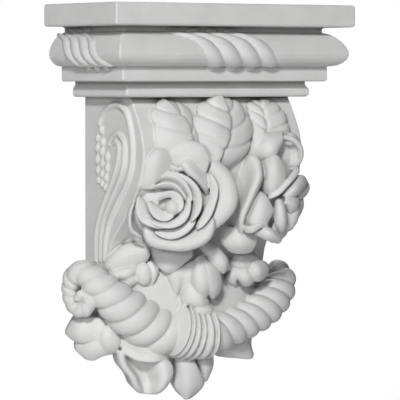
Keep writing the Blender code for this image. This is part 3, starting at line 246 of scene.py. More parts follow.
def follow(keys, values, at):
    """Smooth curve through the values at the keys, read at other places."""
    keys = np.asarray(keys, float)
    values = np.asarray(values, float)
    slopes = np.gradient(values, keys, axis=0)
    at = np.clip(np.asarray(at, float), keys[0], keys[-1])
    i = np.clip(np.searchsorted(keys, at, side="right") - 1, 0, len(keys) - 2)
    width = keys[i + 1] - keys[i]
    t = (at - keys[i]) / width
    if values.ndim > 1:
        shape = at.shape + (1,) * (values.ndim - 1)
        t = t.reshape(shape)
        width = width.reshape(shape)
    return ((1 + 2 * t) * (1 - t) ** 2 * values[i] + t * (1 - t) ** 2 * width * slopes[i]
            + t * t * (3 - 2 * t) * values[i + 1] + t * t * (t - 1) * width * slopes[i + 1])


def path(knots, count):
    """Smooth path through knots, with its points evenly spaced."""
    knots = np.asarray(knots, float)
    keys = np.concatenate([[0], np.cumsum(np.linalg.norm(np.diff(knots, axis=0), axis=1))])
    fine = follow(keys, knots, np.linspace(0, keys[-1], count * PATH_CHECKS))
    run = np.concatenate([[0], np.cumsum(np.linalg.norm(np.diff(fine, axis=0), axis=1))])
    at = np.linspace(0, run[-1], count)
    return np.stack([np.interp(at, run, fine[:, axis]) for axis in range(knots.shape[1])], axis=1)


def front(z):
    """How far the scrolled front stands off the wall at height z, at its drawn size."""
    return follow(BODY_DROP, BODY_STAND, DRAWN_TOP - np.asarray(z, float))


def fit(points):
    """Points at the drawn size, stretched to the block's own sizes."""
    x, y, z = np.moveaxis(np.asarray(points, float), -1, 0)
    return np.stack([x * SIDE / DRAWN_SIDE, y * DEPTH / DRAWN_DEPTH,
                     BODY_TOP + (z - DRAWN_TOP) * BODY_HEIGHT / DRAWN_HEIGHT], axis=-1)


# Shapes: each returns its points and faces, and is one closed skin

def skin(middle, thick, back, rear=None, sharp=5):
    """Skin round a sheet of points (rows, columns, 3), with a round rim. thick: how far it stands in front;
    back: how far behind; rear: the way its back lies, if not straight behind the sheet."""
    middle = np.asarray(middle, float)
    rows, cols = middle.shape[:2]
    normal = unit(np.cross(np.gradient(middle, axis=0), np.gradient(middle, axis=1)))
    down = np.abs(np.linspace(-1, 1, rows))[:, None]
    over = np.abs(np.linspace(-1, 1, cols))[None, :]
    rim = np.sqrt(np.clip(1 - np.maximum(down, over) ** sharp, 0, 1))
    ahead = middle + normal * (rim * thick)[..., None]
    behind = middle + (-normal if rear is None else np.asarray(rear, float)) * (rim * back)[..., None]
    index = np.arange(rows * cols).reshape(rows, cols)
    rear = index.copy()
    inner = (slice(1, rows - 1), slice(1, cols - 1))
    rear[inner] = rows * cols + np.arange((rows - 2) * (cols - 2)).reshape(rows - 2, cols - 2)
    points = np.concatenate([ahead.reshape(-1, 3), behind[inner].reshape(-1, 3)])
    faces = []
    for grid, order in ((index, (0, 1, 2, 3)), (rear, (3, 2, 1, 0))):
        corners = (grid[:-1, :-1], grid[1:, :-1], grid[1:, 1:], grid[:-1, 1:])
        faces.extend(np.stack([corners[k].ravel() for k in order], axis=1).tolist())
    return points, faces


def ring_faces(rows, sides, flip=False):
    """Faces over rows of rings that are closed by one more point at each end."""
    index = np.arange(rows * sides).reshape(rows, sides)
    around = np.roll(index, -1, axis=1)
    corners = (index[:-1], around[:-1], around[1:], index[1:])
    order = (0, 3, 2, 1) if flip else (0, 1, 2, 3)
    faces = np.stack([corners[k] for k in order], axis=-1).reshape(-1, 4).tolist()
    for ring, point, ahead in ((0, rows * sides, flip), (-1, rows * sides + 1, not flip)):
        for a, b in zip(index[ring], around[ring]):
            faces.append([a, b, point] if ahead else [b, a, point])
    return faces


def tube(line, radii, sides, across=(0, 0, 1)):
    """Tube along a line of points; radii (points), or (points, sides) where they differ round it."""
    line = np.asarray(line, float)
    count = len(line)
    radii = np.broadcast_to(radii.reshape(count, -1), (count, sides))
    ahead = unit(np.gradient(line, axis=0))
    side = np.asarray(across, float)
    turn = 2 * math.pi * np.arange(sides) / sides
    rings = []
    for centre, direction, radius in zip(line, ahead, radii):
        side = unit(side - direction * (side @ direction))
        other = np.cross(direction, side)
        round_it = np.cos(turn)[:, None] * side + np.sin(turn)[:, None] * other
        rings.append(centre + round_it * radius[:, None])
    ends = [line[0] - ahead[0] * radii[0].mean() * TUBE_END,
            line[-1] + ahead[-1] * radii[-1].mean() * TUBE_END]
    points = np.concatenate([np.concatenate(rings), ends])
    return points, ring_faces(count, sides)


def ball(centre, size, rows=14, cols=18):
    """Ellipsoid with half sizes size."""
    down = np.linspace(0, math.pi, rows)[1:-1]
    turn = 2 * math.pi * np.arange(cols) / cols
    centre = np.asarray(centre, float)
    size = np.asarray(size, float)
    grid = np.stack([np.outer(np.sin(down), np.cos(turn)), np.outer(np.sin(down), np.sin(turn)),
                     np.outer(np.cos(down), np.ones(cols))], axis=-1)
    pole = np.array((0, 0, size[2]))
    points = np.concatenate([(centre + grid * size).reshape(-1, 3), [centre + pole, centre - pole]])
    return points, ring_faces(rows - 2, cols, True)


# Carved forms

def seen(points):
    """(x, y, z) of places drawn as the camera sees them: right, up, and out towards the viewer."""
    right, up, out = np.moveaxis(np.asarray(points, float), -1, 0)
    near = (VIEW_FROM - out) / (VIEW_FROM - DRAWN_AT)
    across = right * near
    cos, sin = math.cos(VIEW_TURN), math.sin(VIEW_TURN)
    return np.stack([across * cos - out * sin, -across * sin - out * cos, EYE + (up - EYE) * near], axis=-1)


def seen_lines(lines):
    return [seen(line) for line in lines]


def standing(lines, stand):
    """Lines of (x, z, lift) laid on a ground that stands out by stand(z)."""
    laid = []
    for line in lines:
        x, z, lift = np.moveaxis(np.asarray(line, float), -1, 0)
        laid.append(np.stack([x, -(stand(z) + lift), z], axis=-1))
    return laid


def blade(lines, puff, thick=0.8, back=6.0, rear=None, veins=(), slant=0.3, crease=0.0, notch=0.0, rim=6,
          fold=0.0, step=0.0, grid=(36, 33)):
    """Leaf or petal lofted across lines of points that each run from its root to its tip.
    puff: how full it is between its veins; crease: depth of the midrib's groove; fold: where the midrib is;
    veins: where side veins leave it, and slant how far they climb; notch: how deep the edge is cut there;
    step: how far the first half stands over the second along the midrib."""
    rows, cols = grid
    tracks = np.stack([path(line, rows) for line in lines])
    t = np.linspace(0, 1, rows)[:, None]
    s = np.linspace(-1, 1, cols)[None, :]
    side = np.where(s < fold, (s - fold) / (1 + fold), (s - fold) / (1 - fold))
    course = t - slant * np.abs(side)
    dent = np.zeros_like(course)
    for vein in veins:
        dent = np.maximum(dent, np.exp(-((course - vein) / VEIN_WIDTH) ** 2))
    cushion = np.zeros_like(course)
    limits = (-slant - ROOT_MARGIN, *veins, TIP_LIMIT)
    for low, high in zip(limits[:-1], limits[1:]):
        inside = np.clip((course - low) / (high - low), 0, 1)
        cushion = np.maximum(cushion, np.sin(math.pi * inside) ** 0.5)
    reach = fold + (s - fold) * (1 - notch * (1 - cushion) * np.abs(side) ** 2)
    flat = follow(np.linspace(-1, 1, len(lines)), tracks, reach.ravel())
    sheet = flat.reshape(rows, cols, rows, 3)[np.arange(rows), :, np.arange(rows)]
    height = puff * (PUFF_LEAST + PUFF_MORE * cushion) * (1 - np.abs(side) ** 4)
    height = height - crease * np.exp(-(side / MIDRIB_WIDTH) ** 2) * np.clip(MIDRIB_FADE - t, 0, 1)
    height = height - VEIN_DEPTH * dent
    height = height + step * (1 - np.abs(side)) * (0.5 - 0.5 * np.tanh((s - fold) / FOLD_WIDTH))
    normal = unit(np.cross(np.gradient(sheet, axis=0), np.gradient(sheet, axis=1)))
    outward = np.array([-math.sin(VIEW_TURN), -math.cos(VIEW_TURN), 0])
    if (normal @ outward).sum() < 0:
        sheet, height, normal = sheet[:, ::-1], height[:, ::-1], -normal[:, ::-1]
    return skin(sheet + normal * height[..., None], thick, back, rear, rim)


def pad(centre, long, wide, size):
    """Smooth cushion: an ellipsoid with half sizes size along long, wide and the way they both face."""
    points, faces = ball((0, 0, 0), size, *PAD_GRID)
    long = unit(long)
    face = unit(np.cross(long, wide))
    axes = np.stack([long, np.cross(face, long), face])
    return np.asarray(centre, float) + points @ axes, faces


def rose_petal(rose, rim, height, band, dip, dome=0.0, roll=0.8, tuck=1.6, thick=0.6, back=3.0):
    """Petal curled round a rose. rim: (degrees round the axis, distance from it) along the petal's edge;
    height: of its crest; band: how far in from the rim it shows; dip: how far it falls inwards;
    dome: how far it swells; roll: how far its edge falls back; tuck: how far its ends dive."""
    centre, right, up, out = rose
    around, reach = np.array(rim, float).T
    cols = max(PETAL_COLUMNS, int(abs(around[-1] - around[0]) / PETAL_DEGREES))
    t = np.linspace(0, 1, PETAL_ROWS)[:, None]
    s = np.linspace(0, 1, cols)[None, :]
    order = 1 if around[-1] > around[0] else -1
    angle = around[0] + (around[-1] - around[0]) * s
    edge = follow(order * around, reach, order * angle.ravel())[None, :]
    ends = (2 * s - 1) ** 6
    narrow = 1 - BAND_TAPER * (2 * s - 1) ** 4
    radius = np.maximum(edge - band * (1 - t) * narrow - PETAL_END * ends, HEART)
    fall = np.clip((t - ROLL_START) / (1 - ROLL_START), 0, 1) ** 2
    high = height - dip * (1 - t) ** 1.5 + dome * np.sin(math.pi * t) - roll * fall - tuck * ends
    turn = np.radians(angle)
    sheet = (centre + (radius * np.cos(turn))[..., None] * right + (radius * np.sin(turn))[..., None] * up
             + (high * np.ones_like(s))[..., None] * out)
    return skin(sheet if order > 0 else sheet[:, ::-1], thick, back, sharp=PETAL_RIM)


def rose_frame(centre, out):
    """Centre of a rose, with its own right, up and out."""
    out = unit(out)
    right = unit(np.cross((0, 0, 1), out))
    return np.asarray(centre, float), right, np.cross(out, right), out


ROSE_RINGS = (
    # rim (degrees, mm), height, band, dip
    (((-60, 5.8), (30, 7), (100, 9.4), (168, 11.4)), 13.6, 5, 2.2),
    (((168, 16.6), (205, 15.2), (245, 11.4), (275, 6.6)), 12.6, 8, 3.2),
    (((140, 17.8), (113, 15.9), (85, 13.6), (56, 10.8), (20, 9.4)), 12.2, 5, 4),
    (((130, 20.6), (100, 20), (76, 18), (45, 14.8), (10, 12.4)), 11, 5.4, 4),
    (((24, 11.6), (-12, 11.3), (-60, 13), (-105, 15.4), (-152, 18.8)), 11.4, 6, 2.6),
    (((-112, 16.4), (-132, 19.2), (-155, 23.2), (-196, 23.6)), 9.4, 8, 2.6),
    (((158, 24.6), (137, 25.8), (116, 23.8), (92, 21.4), (61, 20.2), (25, 19.3), (0, 18.3), (-44, 16)),
     10, 6.4, 4),
    (((-126, 21.2), (-100, 21.8), (-60, 19.6), (-32, 17.8)), 6.2, 7, 2),
    (((126, 25.6), (100, 25.8), (74, 23)), 9.4, 4, 3),
    (((126, 27.6), (105, 29.6), (90, 29.2), (68, 26.4)), 9, 5, 3),
    (((42, 31.8), (24, 31.2), (0, 27), (-24, 24.5), (-46, 22.4)), 5.4, 6, 3.4),
)
OUTER_PETALS = (
    # rim (degrees, mm), height, band, dip
    (((-150, 21), (-124, 28.8), (-98, 28.4), (-66, 30.6), (-40, 32), (-16, 28)), 2.6, 15, 9),
    (((62, 36), (42, 41.5), (20, 43.4), (0, 41.5), (-16, 36), (-34, 29)), -2.4, 24, 5),
)
BEHIND_ROSE = (
    ((-59, 10, -2), (-60.4, 19, 0.4), (-60, 27, 0.8), (-56, 33.4, 1), (-50, 36.4, 0.6)),
    ((-53, 10, 3), (-53, 19, 4), (-52.6, 27, 4), (-51, 32.6, 3.4), (-48.4, 36.6, 0.6)),
    ((-42, 10, 1), (-41, 19, 2), (-41, 27, 2), (-42, 33.4, 1.4), (-45, 37.4, 0)),
    ((-30, 10, -7), (-29, 19, -7), (-30, 28, -7), (-34, 35, -6), (-42, 38, -2)),
)
ABOVE_ROSE = (
    ((-0.3, 17.4, 78), (-1.4, 25.6, 82), (-1.4, 29.9, 84.6), (1.3, 33.8, 84.6), (7.5, 37.4, 82.4)),
    ((5.2, 17.4, 78), (5.2, 25.6, 82), (5.9, 31.1, 84.6), (8.2, 35, 84.6), (12.1, 38.7, 82)),
    ((12.1, 17.4, 78), (12.9, 24.9, 82), (13.7, 31.1, 84), (14.8, 35.7, 84), (16.8, 39.6, 82)),
    ((19.1, 17.4, 78), (20.7, 24.9, 81), (21.4, 30.3, 83), (21.4, 35, 83), (20.7, 38.8, 81)),
    ((26.1, 17, 77), (28, 22.5, 79), (29.2, 26.8, 80), (28, 32.2, 81), (23.8, 37.7, 81)),
)
BESIDE_ROSE = (
    ((-19, 2, 82), (-22, -8, 82), (-21, -17, 80), (-14, -22, 76)),
    ((-20.6, 1, 78), (-23.8, -8, 78), (-22.4, -18.4, 76), (-14, -24.4, 72)),
)
FOLDED_PETAL = (
    ((26, 2, 64), (24.4, 8, 74), (18.4, 14.4, 79), (12.4, 19.2, 82), (9.6, 24, 83), (13.8, 28.8, 83)),
    ((27.6, 2, 66), (26, 9, 77), (20.4, 15.4, 83), (15.6, 21, 86), (12.8, 25.4, 86.4), (14.4, 29, 83.6)),
    ((29.6, 2, 64), (28.6, 10, 74), (24.6, 16.4, 79), (20.4, 22, 82), (17, 26.4, 83.6), (15, 29, 83)),
    ((31.6, 3, 60), (31.6, 10.4, 69), (29, 17, 73), (25, 23, 76), (20.6, 27.6, 79), (15.8, 29.2, 82)),
)


def face_rose():
    """The rose that faces out at the left: bud, then rings of curled petals, each lower than the last."""
    rose = rose_frame((-38.5, -67, -0.6), (-0.50, -0.86, 0.06))
    centre, right, up, out = rose
    shapes = [rose_petal(rose, rim, high, band, dip) for rim, high, band, dip in ROSE_RINGS]
    shapes.append(ball(centre + out * 9.6 - right * 0.4 - up * 1.2, (5.2, 5.2, 5.2)))
    shapes.append(pad(centre - out * 4, up, right, (19, 19, 10.5)))
    for rim, high, band, dip in OUTER_PETALS:
        shapes.append(rose_petal(rose, rim, high, band, dip, dome=2.4, roll=3.4, tuck=2, thick=1.2, back=5))
    shapes.append(ball(centre - out * 15, (28, 14, 26)))
    shapes.append(blade(standing(BEHIND_ROSE, front), 1, rear=INTO_WALL))
    shapes.append(blade(seen_lines(ABOVE_ROSE), 0.6, thick=1, back=7))
    shapes.append(blade(seen_lines(BESIDE_ROSE), 0, back=1.2))
    shapes.append(blade(seen_lines(FOLDED_PETAL), 0.4, thick=0.6, back=4))
    shapes.append(ball(seen((11.4, 20.6, 78)), (3.4, 3.4, 3.4)))
    return shapes


SIDE_PETALS = (
    # lines (right, up, out) as seen, puff
    # the great petal beside the face rose, with its right edge rolled over
    ((((40, 27, 39), (40, 10, 38), (39, -6, 38), (41, -20, 38)),
      ((50, 31, 46), (52, 14, 50), (48, -3, 50), (45, -19, 45)),
      ((59, 29, 52), (60, 17, 60), (55, 4, 62), (49.5, -10, 60), (49, -20, 52)),
      ((62, 25, 44), (62.6, 16, 50), (57.6, 3, 51), (51.6, -10, 51), (51, -20, 46))), 0.6),
    # the front petal and its lip
    ((((59.6, 7, 48), (55, -1, 50), (51.4, -8, 52), (52, -15, 54)),
      ((60, 7, 50), (60.5, -1, 57), (60, -8, 59), (58.5, -15, 58)),
      ((60.6, 7, 48), (66, 3, 52), (69.4, -5, 52), (65.5, -14, 54))), 1.2),
    ((((50.8, -14.4, 56), (54, -14.8, 60), (59.6, -13.4, 61), (65.5, -13.4, 55)),
      ((51.5, -19.2, 55), (56.5, -19, 58), (60.5, -16, 58), (66.2, -14.6, 54))), 0.8),
    # the upright petal behind it
    ((((64, 4, 42), (59, 14, 42), (59.6, 23, 42), (69.6, 30.4, 43)),
      ((68, 5, 47), (68.5, 14, 51.6), (69, 22, 52.6), (71, 30.4, 45)),
      ((70, 6, 45), (76.8, 13, 46), (77, 23, 46), (72, 30.2, 44))), 0.8),
    # bands that turn round the right of the heart
    ((((66.5, 5.5, 46), (73.5, 8.5, 46), (78.5, 15, 44), (84, 23.5, 36)),
      ((66, 1.5, 49), (73, 4.5, 50), (79, 10.5, 47), (86.4, 20, 36))), 1.4),
    ((((71.6, 2, 46), (70.4, -6, 47), (70.6, -13, 47), (73, -18.8, 43)),
      ((73, 2.4, 47), (74.4, -5, 51), (75, -12, 50), (74.6, -19, 44)),
      ((74.4, 2, 45), (77.4, -5, 45), (78, -13, 43), (76, -18.6, 41))), 1),
    ((((75, 3.6, 42), (78.5, 9, 41), (84.6, 17.4, 34), (88.6, 17, 27)),
      ((77, 3.5, 44), (82, 8, 43), (87, 13, 36), (90, 15, 27)),
      ((79.4, 2.6, 42), (84, 4.5, 38), (88.5, 9, 30), (91, 13, 25))), 1),
    ((((76.4, 2, 44), (81, 3.2, 41), (85.6, 3.6, 35)), ((77, 1, 46), (81.5, -0.8, 43), (84.6, -3, 37)),
      ((76.6, 1, 44), (77.6, -3, 43), (79.8, -7, 39))), 0.8),
    ((((60, -14, 50), (66, -16, 52), (74, -21.6, 44)),
      ((59, -17, 53), (66, -19.5, 57), (74.6, -24, 46)),
      ((57.4, -20, 50), (64, -23.4, 53), (72.6, -26, 44))), 1),
    # outer petals that close the back
    ((((80, 8, 34), (87, 14.5, 26), (91, 14.5, 19)), ((80, 4, 36), (87, 8.5, 30), (92.4, 9, 20)),
      ((80, 0, 36), (85, 2, 32), (89, 3.4, 22))), 0.6),
    ((((78, 0, 38), (84, 2, 30), (88.6, 3.4, 21)), ((78, -4, 38), (84, -3.4, 32), (88, -4, 22)),
      ((76, -10, 38), (79, -12.4, 32), (82.6, -14, 24))), 0.6),
    ((((70, -12, 40), (75, -16, 36), (79, -17, 28)), ((68, -16, 40), (72, -20, 36), (76, -22, 28)),
      ((64, -18, 40), (66, -23, 36), (68, -26, 28))), 0.6),
    # the low petal under the rose
    ((((36, -14, 42), (35, -24, 46), (41, -31, 43)), ((47, -16, 48), (48, -25, 51), (48, -32.4, 43)),
      ((59, -16, 42), (59, -26, 43), (56, -31.4, 39))), 1),
)


def side_rose():
    """The rose at the right, turned to the corner: petals round a heart, seen from the side."""
    shapes = [pad((44, -54, 0), (0, 0, 1), (1, 0, 0), (24, 18, 16)),
              pad((22, -56, 2), (0, 0, 1), (1, 0, 0), (22, 14, 14)),
              pad(seen((76, -3, 26)), (0, 0, 1), (1, 0, 0), (17, 9, 14))]
    return shapes + [blade(seen_lines(lines), puff, thick=0.9, back=3.4) for lines, puff in SIDE_PETALS]


TOP_LEAVES = (
    # lines (x, z, lift), veins, fold, step
    ((((-46, 26, -3), (-52, 38, 1), (-53, 46, 1), (-52, 56, 1.5), (-47, 62.5, 2), (-41, 65.5, 2)),
      ((-36, 26, -2), (-39, 36, 4), (-41, 46, 5), (-43, 56, 5), (-42, 62, 3.5), (-41, 65.5, 2)),
      ((-26, 26, -2), (-27.5, 37, 4), (-27.7, 47.7, 4.6), (-30.7, 54.3, 4.6), (-34.6, 59.5, 4),
       (-41, 65.5, 2)),
      ((-16, 26, -4), (-18, 37, 0), (-19, 50, 0), (-19.5, 59, 0.5), (-27, 64.6, 1),
       (-40.6, 65.8, 1.6))), (0.42, 0.68), 0.34, 2),
    ((((-12, 20, -3), (-20, 34, 1), (-26.6, 43.5, 1), (-24.4, 50, 1.5), (-17.3, 59, 2), (-10, 65.4, 3),
       (-0.6, 69.4, 5)),
      ((-10, 20, -1), (-11, 32, 5.5), (-12, 42, 7), (-10.5, 50, 7.5), (-6, 58.5, 7), (-3, 65, 7),
       (-0.6, 69.4, 5)),
      ((-8, 20, -1), (-7.3, 31, 5), (-1.9, 39, 6), (1.9, 47, 6.5), (4.1, 56, 6.5), (3.6, 64, 6),
       (-0.4, 69.4, 5)),
      ((-6, 18, -2), (2, 28, 4), (9.5, 35.5, 4.6), (13, 45, 5.5), (14, 55, 5.5), (11, 64, 5),
       (0, 69.4, 5)),
      ((-4, 16, -4), (8, 25, 0), (17.5, 32, 1), (23, 43, 1.5), (23.6, 54, 2), (18.5, 64, 3),
       (0.4, 69.4, 4.6))), (0.3, 0.52, 0.72), 0, 2.2),
    ((((20, 28, -4), (21, 38, 0), (22.4, 48, 1), (23.5, 56, 1.5), (23.5, 62, 2), (30, 66, 2)),
      ((26, 28, -2), (27, 38, 3.5), (29.5, 47, 4.5), (30.5, 55, 4.6), (31.5, 61, 4), (34, 66, 2)),
      ((30, 28, -2), (32, 38, 3), (34.5, 47, 4), (35.5, 55, 4.4), (36, 61, 4), (37, 66, 2)),
      ((36, 28, -2), (40, 38, 3), (44, 46, 4.6), (45, 54, 5), (44, 60, 4), (40, 66, 2)),
      ((42, 28, -3), (47, 39, 1.6), (52.5, 47, 2.8), (52.5, 54, 3), (50, 61, 3), (42, 66, 2.6))),
      (0.42, 0.62, 0.8), -0.1, -1.6),
)
TONGUE = (
    ((54, 38, 36), (65, 45, 38), (76, 45.6, 36)),
    ((56, 33, 42), (66, 39.6, 47), (75.8, 43, 41.5)),
    ((57, 29, 42), (67.6, 34, 49.5), (75.6, 41.5, 43)),
    ((57.5, 24, 39), (70.5, 29.4, 46), (75, 39, 42)),
)
HOLLOW_LEAF = (
    ((74, 41.6, 38), (71, 36, 40), (69, 25, 40)),
    ((78, 41.2, 36.6), (78, 34, 28), (77, 24, 28)),
    ((82, 40.4, 36), (86.4, 35, 31), (84, 23, 28)),
)
LIP_LINE = (
    (74, 42, 40), (78.5, 41.6, 38), (83, 39.8, 36), (86.2, 36, 33), (87.2, 30.6, 30), (85.2, 25, 27),
    (81, 21, 26),
)


def top_leaves():
    """Rose leaves that spread up the scroll under the step, and a curled one at the right corner."""
    shapes = []
    for lines, veins, fold, step in TOP_LEAVES:
        shapes.append(blade(standing(lines, front), 1.3, back=7, rear=INTO_WALL, veins=veins, slant=0.16,
                            crease=1.4, notch=0.13, fold=fold, step=step, grid=FINE))
    shapes.append(blade(seen_lines(TONGUE), 1, back=5))
    shapes.append(blade(seen_lines(HOLLOW_LEAF), 0, back=7))
    size = LIP * np.sin(math.pi * np.linspace(*LIP_SPAN, LIP_POINTS)) ** LIP_TAPER
    shapes.append(tube(path(seen(LIP_LINE), LIP_POINTS), size, LIP_SIDES))
    shapes.append(ball(seen((80, 39.6, 32)), (4.4, 4.4, 3.6)))
    return shapes


LOWER_LEAVES = (
    # lines (right, up, out) as seen, puff, crease
    # left: a broad leaf and the one under it
    ((((-38.4, -45, 53), (-38, -37, 54), (-31, -30, 55), (-22, -25.6, 56), (-13, -27, 56),
       (-9.6, -33, 54)),
      ((-38.4, -45.2, 54.5), (-34, -38.5, 58), (-26, -33, 60), (-18, -31, 60), (-12, -31.5, 58.5),
       (-9.8, -33.6, 55)),
      ((-38.4, -47, 53), (-32, -45, 56), (-23, -42.4, 57), (-16, -40.6, 55), (-11.5, -37, 54),
       (-10, -34, 54))), 0.8, 0.7),
    ((((-38.4, -45.2, 53), (-30, -43, 58), (-23, -41.4, 59), (-17.6, -41, 56)),
      ((-38, -46, 54), (-31, -46.4, 60), (-24, -45.6, 61), (-18, -43.6, 57)),
      ((-37, -47, 52), (-32, -49.8, 57), (-25, -49.6, 57), (-18.6, -46.4, 55))), 0.8, 0),
    ((((-11, -38, 55), (-8, -44, 56), (-10, -52, 53)),
      ((-8.6, -37, 55), (-5.4, -44, 56), (-7.6, -52.6, 52))), 0.8, 0),
    # middle: a wedge under the rose, and the pointed leaf below it
    ((((-10, -29, 52), (-6, -39.4, 54), (-0.6, -44, 54), (3, -45, 52)),
      ((3, -27, 55), (3.4, -34, 58), (3.4, -40, 57), (3.2, -45, 53)),
      ((16, -27, 52), (18.5, -33, 52), (11.5, -40, 54), (3.6, -45, 52))), 0.6, 0),
    ((((-2, -41, 46), (1.4, -48, 48), (4.4, -55, 47), (7.4, -61.6, 43)),
      ((6, -40, 51), (7, -47, 52), (7.4, -54, 50), (7.6, -61.6, 44)),
      ((14, -38, 49), (13.4, -45, 50), (10.6, -53, 48), (7.8, -61.6, 43)),
      ((21.6, -36, 52), (20, -44, 51), (15, -52.6, 48), (8, -61.6, 43))), 0.5, 0),
    # right of the middle: the bright heart-shaped leaf, the one behind it and the one under it
    ((((21.6, -34, 51), (17.4, -41, 50), (16.4, -49, 49), (18.6, -56, 48), (25.6, -61.6, 44)),
      ((22, -34.4, 52), (21.4, -42, 55), (21.4, -49.4, 56), (22.6, -56, 54), (26.6, -61, 46)),
      ((22.2, -34.4, 52), (26.4, -42.4, 54), (27.6, -49.4, 55), (28, -55, 52), (28, -57.6, 47)),
      ((22.4, -34.4, 52), (30.4, -42.4, 51), (32.6, -49.8, 51), (31.6, -57, 49), (29.6, -61.6, 44)),
      ((23, -34.2, 50), (33.2, -41.6, 47), (36.6, -49.3, 45), (35, -58, 43), (30, -62, 42))), 0.6, 0.5),
    ((((21, -28, 48), (27, -35, 48), (33, -42, 46), (37, -46, 42)),
      ((25, -26, 50), (32, -33, 50), (37, -39.6, 48), (38, -45, 43)),
      ((29, -24, 46), (36.4, -31, 45), (40.6, -37.6, 42), (38.4, -45, 40))), 0.8, 0.4),
    ((((11, -49, 43), (16.5, -50, 48), (21, -56, 50), (27.6, -63, 44)),
      ((10.6, -59.6, 46), (16, -60.6, 52), (22, -62.6, 52), (28, -64.6, 45)),
      ((8.6, -62.4, 44), (14.6, -66.6, 48), (22, -68, 48), (27.6, -66.4, 43))), 0.8, 0),
    # right: a lobed leaf turned over
    ((((44, -44, 24), (42, -38, 26), (45.6, -33, 26), (52, -31, 22)),
      ((48.6, -43.6, 27), (48.6, -38, 30), (51, -34, 28), (54, -31, 22)),
      ((53.4, -43, 25), (57, -40, 24), (60.4, -36, 19), (56, -31.6, 19))), 0.8, 0.5),
    ((((54, -43, 24), (56, -39, 25), (60, -36.8, 21), (65, -38.4, 14)),
      ((54.6, -44.6, 26), (59, -44, 28), (63, -43, 23), (66, -41.6, 15)),
      ((55, -46, 24), (58, -50.6, 22), (63.6, -48.6, 16), (66.4, -43, 12))), 0.8, 0.4),
    ((((44, -42, 26), (40, -45, 27), (38.6, -49, 25), (45.4, -52.4, 20)),
      ((46, -43, 27), (44, -46, 29), (43.4, -49.6, 27), (45.6, -52.6, 21)),
      ((47.6, -44, 26), (46.4, -47, 27), (45.6, -50, 25), (46, -52.6, 20))), 0.6, 0),
    ((((46, -43.6, 26), (46.4, -48, 27), (48.6, -51, 25), (52, -52.8, 19)),
      ((50, -43.6, 28), (51.4, -47.6, 30), (52.4, -50.6, 27), (52.6, -52.8, 20)),
      ((54.4, -43.4, 26), (57, -47, 25), (56.8, -50.4, 22), (53, -52.8, 18))), 0.8, 0.4),
)


def lower_leaves():
    """Leaves and loose petals that hang between the roses and the rope."""
    cols, rows = MOUND_GRID
    x, z = np.meshgrid(np.linspace(-MOUND_SIDE, MOUND_SIDE, cols), np.linspace(*MOUND_ENDS, rows))
    bow = MOUND_BOW * (np.abs(x) / MOUND_SIDE) ** 3
    mound = np.stack([x, -(follow(MOUND_LEVELS, MOUND_STANDS, z) - MOUND_SUNK - bow), z], axis=-1)
    shapes = [skin(mound, *MOUND_SKIN)]
    for lines, puff, crease in LOWER_LEAVES:
        shapes.append(blade(seen_lines(lines), puff, thick=0.9, crease=crease))
    for place, size in (((-22.5, -48.6, 55), (6.4, 5, 5.6)), ((-13.4, -46, 55), (5.6, 5.6, 7.4)),
                        ((24.5, -69.5, 46), (8, 5, 4.4))):
        shapes.append(ball(seen(place), size))
    return shapes


LEFT_ARM = (
    (9, -83.8, 38), (-2.8, -82.7, 45), (-14, -77, 51), (-25.7, -68.6, 57), (-34.2, -60.6, 61),
    (-41.6, -54, 63.5), (-47.6, -48, 64.5), (-52.6, -45, 64), (-57, -46.4, 61.5), (-59.4, -51.4, 59),
    (-60, -57.8, 58), (-58.8, -64, 58.5), (-55.4, -68, 61), (-50.8, -68, 64), (-48.4, -63.6, 66),
    (-50.6, -59.4, 66), (-54.8, -59.4, 65.5), (-56, -62.6, 65),
)
RIGHT_ARM = (
    (9, -84, 38), (22, -84.4, 34), (36.4, -81.4, 26), (49.1, -76, 15), (59.2, -69.6, 5), (67.2, -62.4, -5),
    (72, -55.6, -14), (73.6, -49.6, -21), (71.6, -46, -27), (67.4, -48, -30), (66, -53, -30),
)
ARMS = (
    # knots, turn of the strands, strands, run of each size below, thickness, length of a strand's bulge
    (LEFT_ARM, -1, 2, (0, 14, 28, 44, 56, 66, 75, 86, 99, 116, 134),
     (16.4, 16.4, 16, 14.8, 12.8, 11.2, 9.6, 7.6, 6.2, 5.4, 2.8),
     (11.5, 11.5, 12, 12, 11, 9.4, 8.2, 7, 5.8, 5, 4)),
    (RIGHT_ARM, 1, 3, (0, 20, 36, 52, 70, 88, 104, 118, 132),
     (15.4, 14.2, 12.8, 13.2, 13.8, 12.8, 10.6, 8, 4),
     (10.6, 10.6, 10.6, 10.8, 11, 11, 10.4, 8, 6)),
)
BAND_LINE = ((-21.8, -43.1, -81.4), (-13, -43.3, -83.2), (-4, -43.5, -84), (4, -43.8, -83.8))


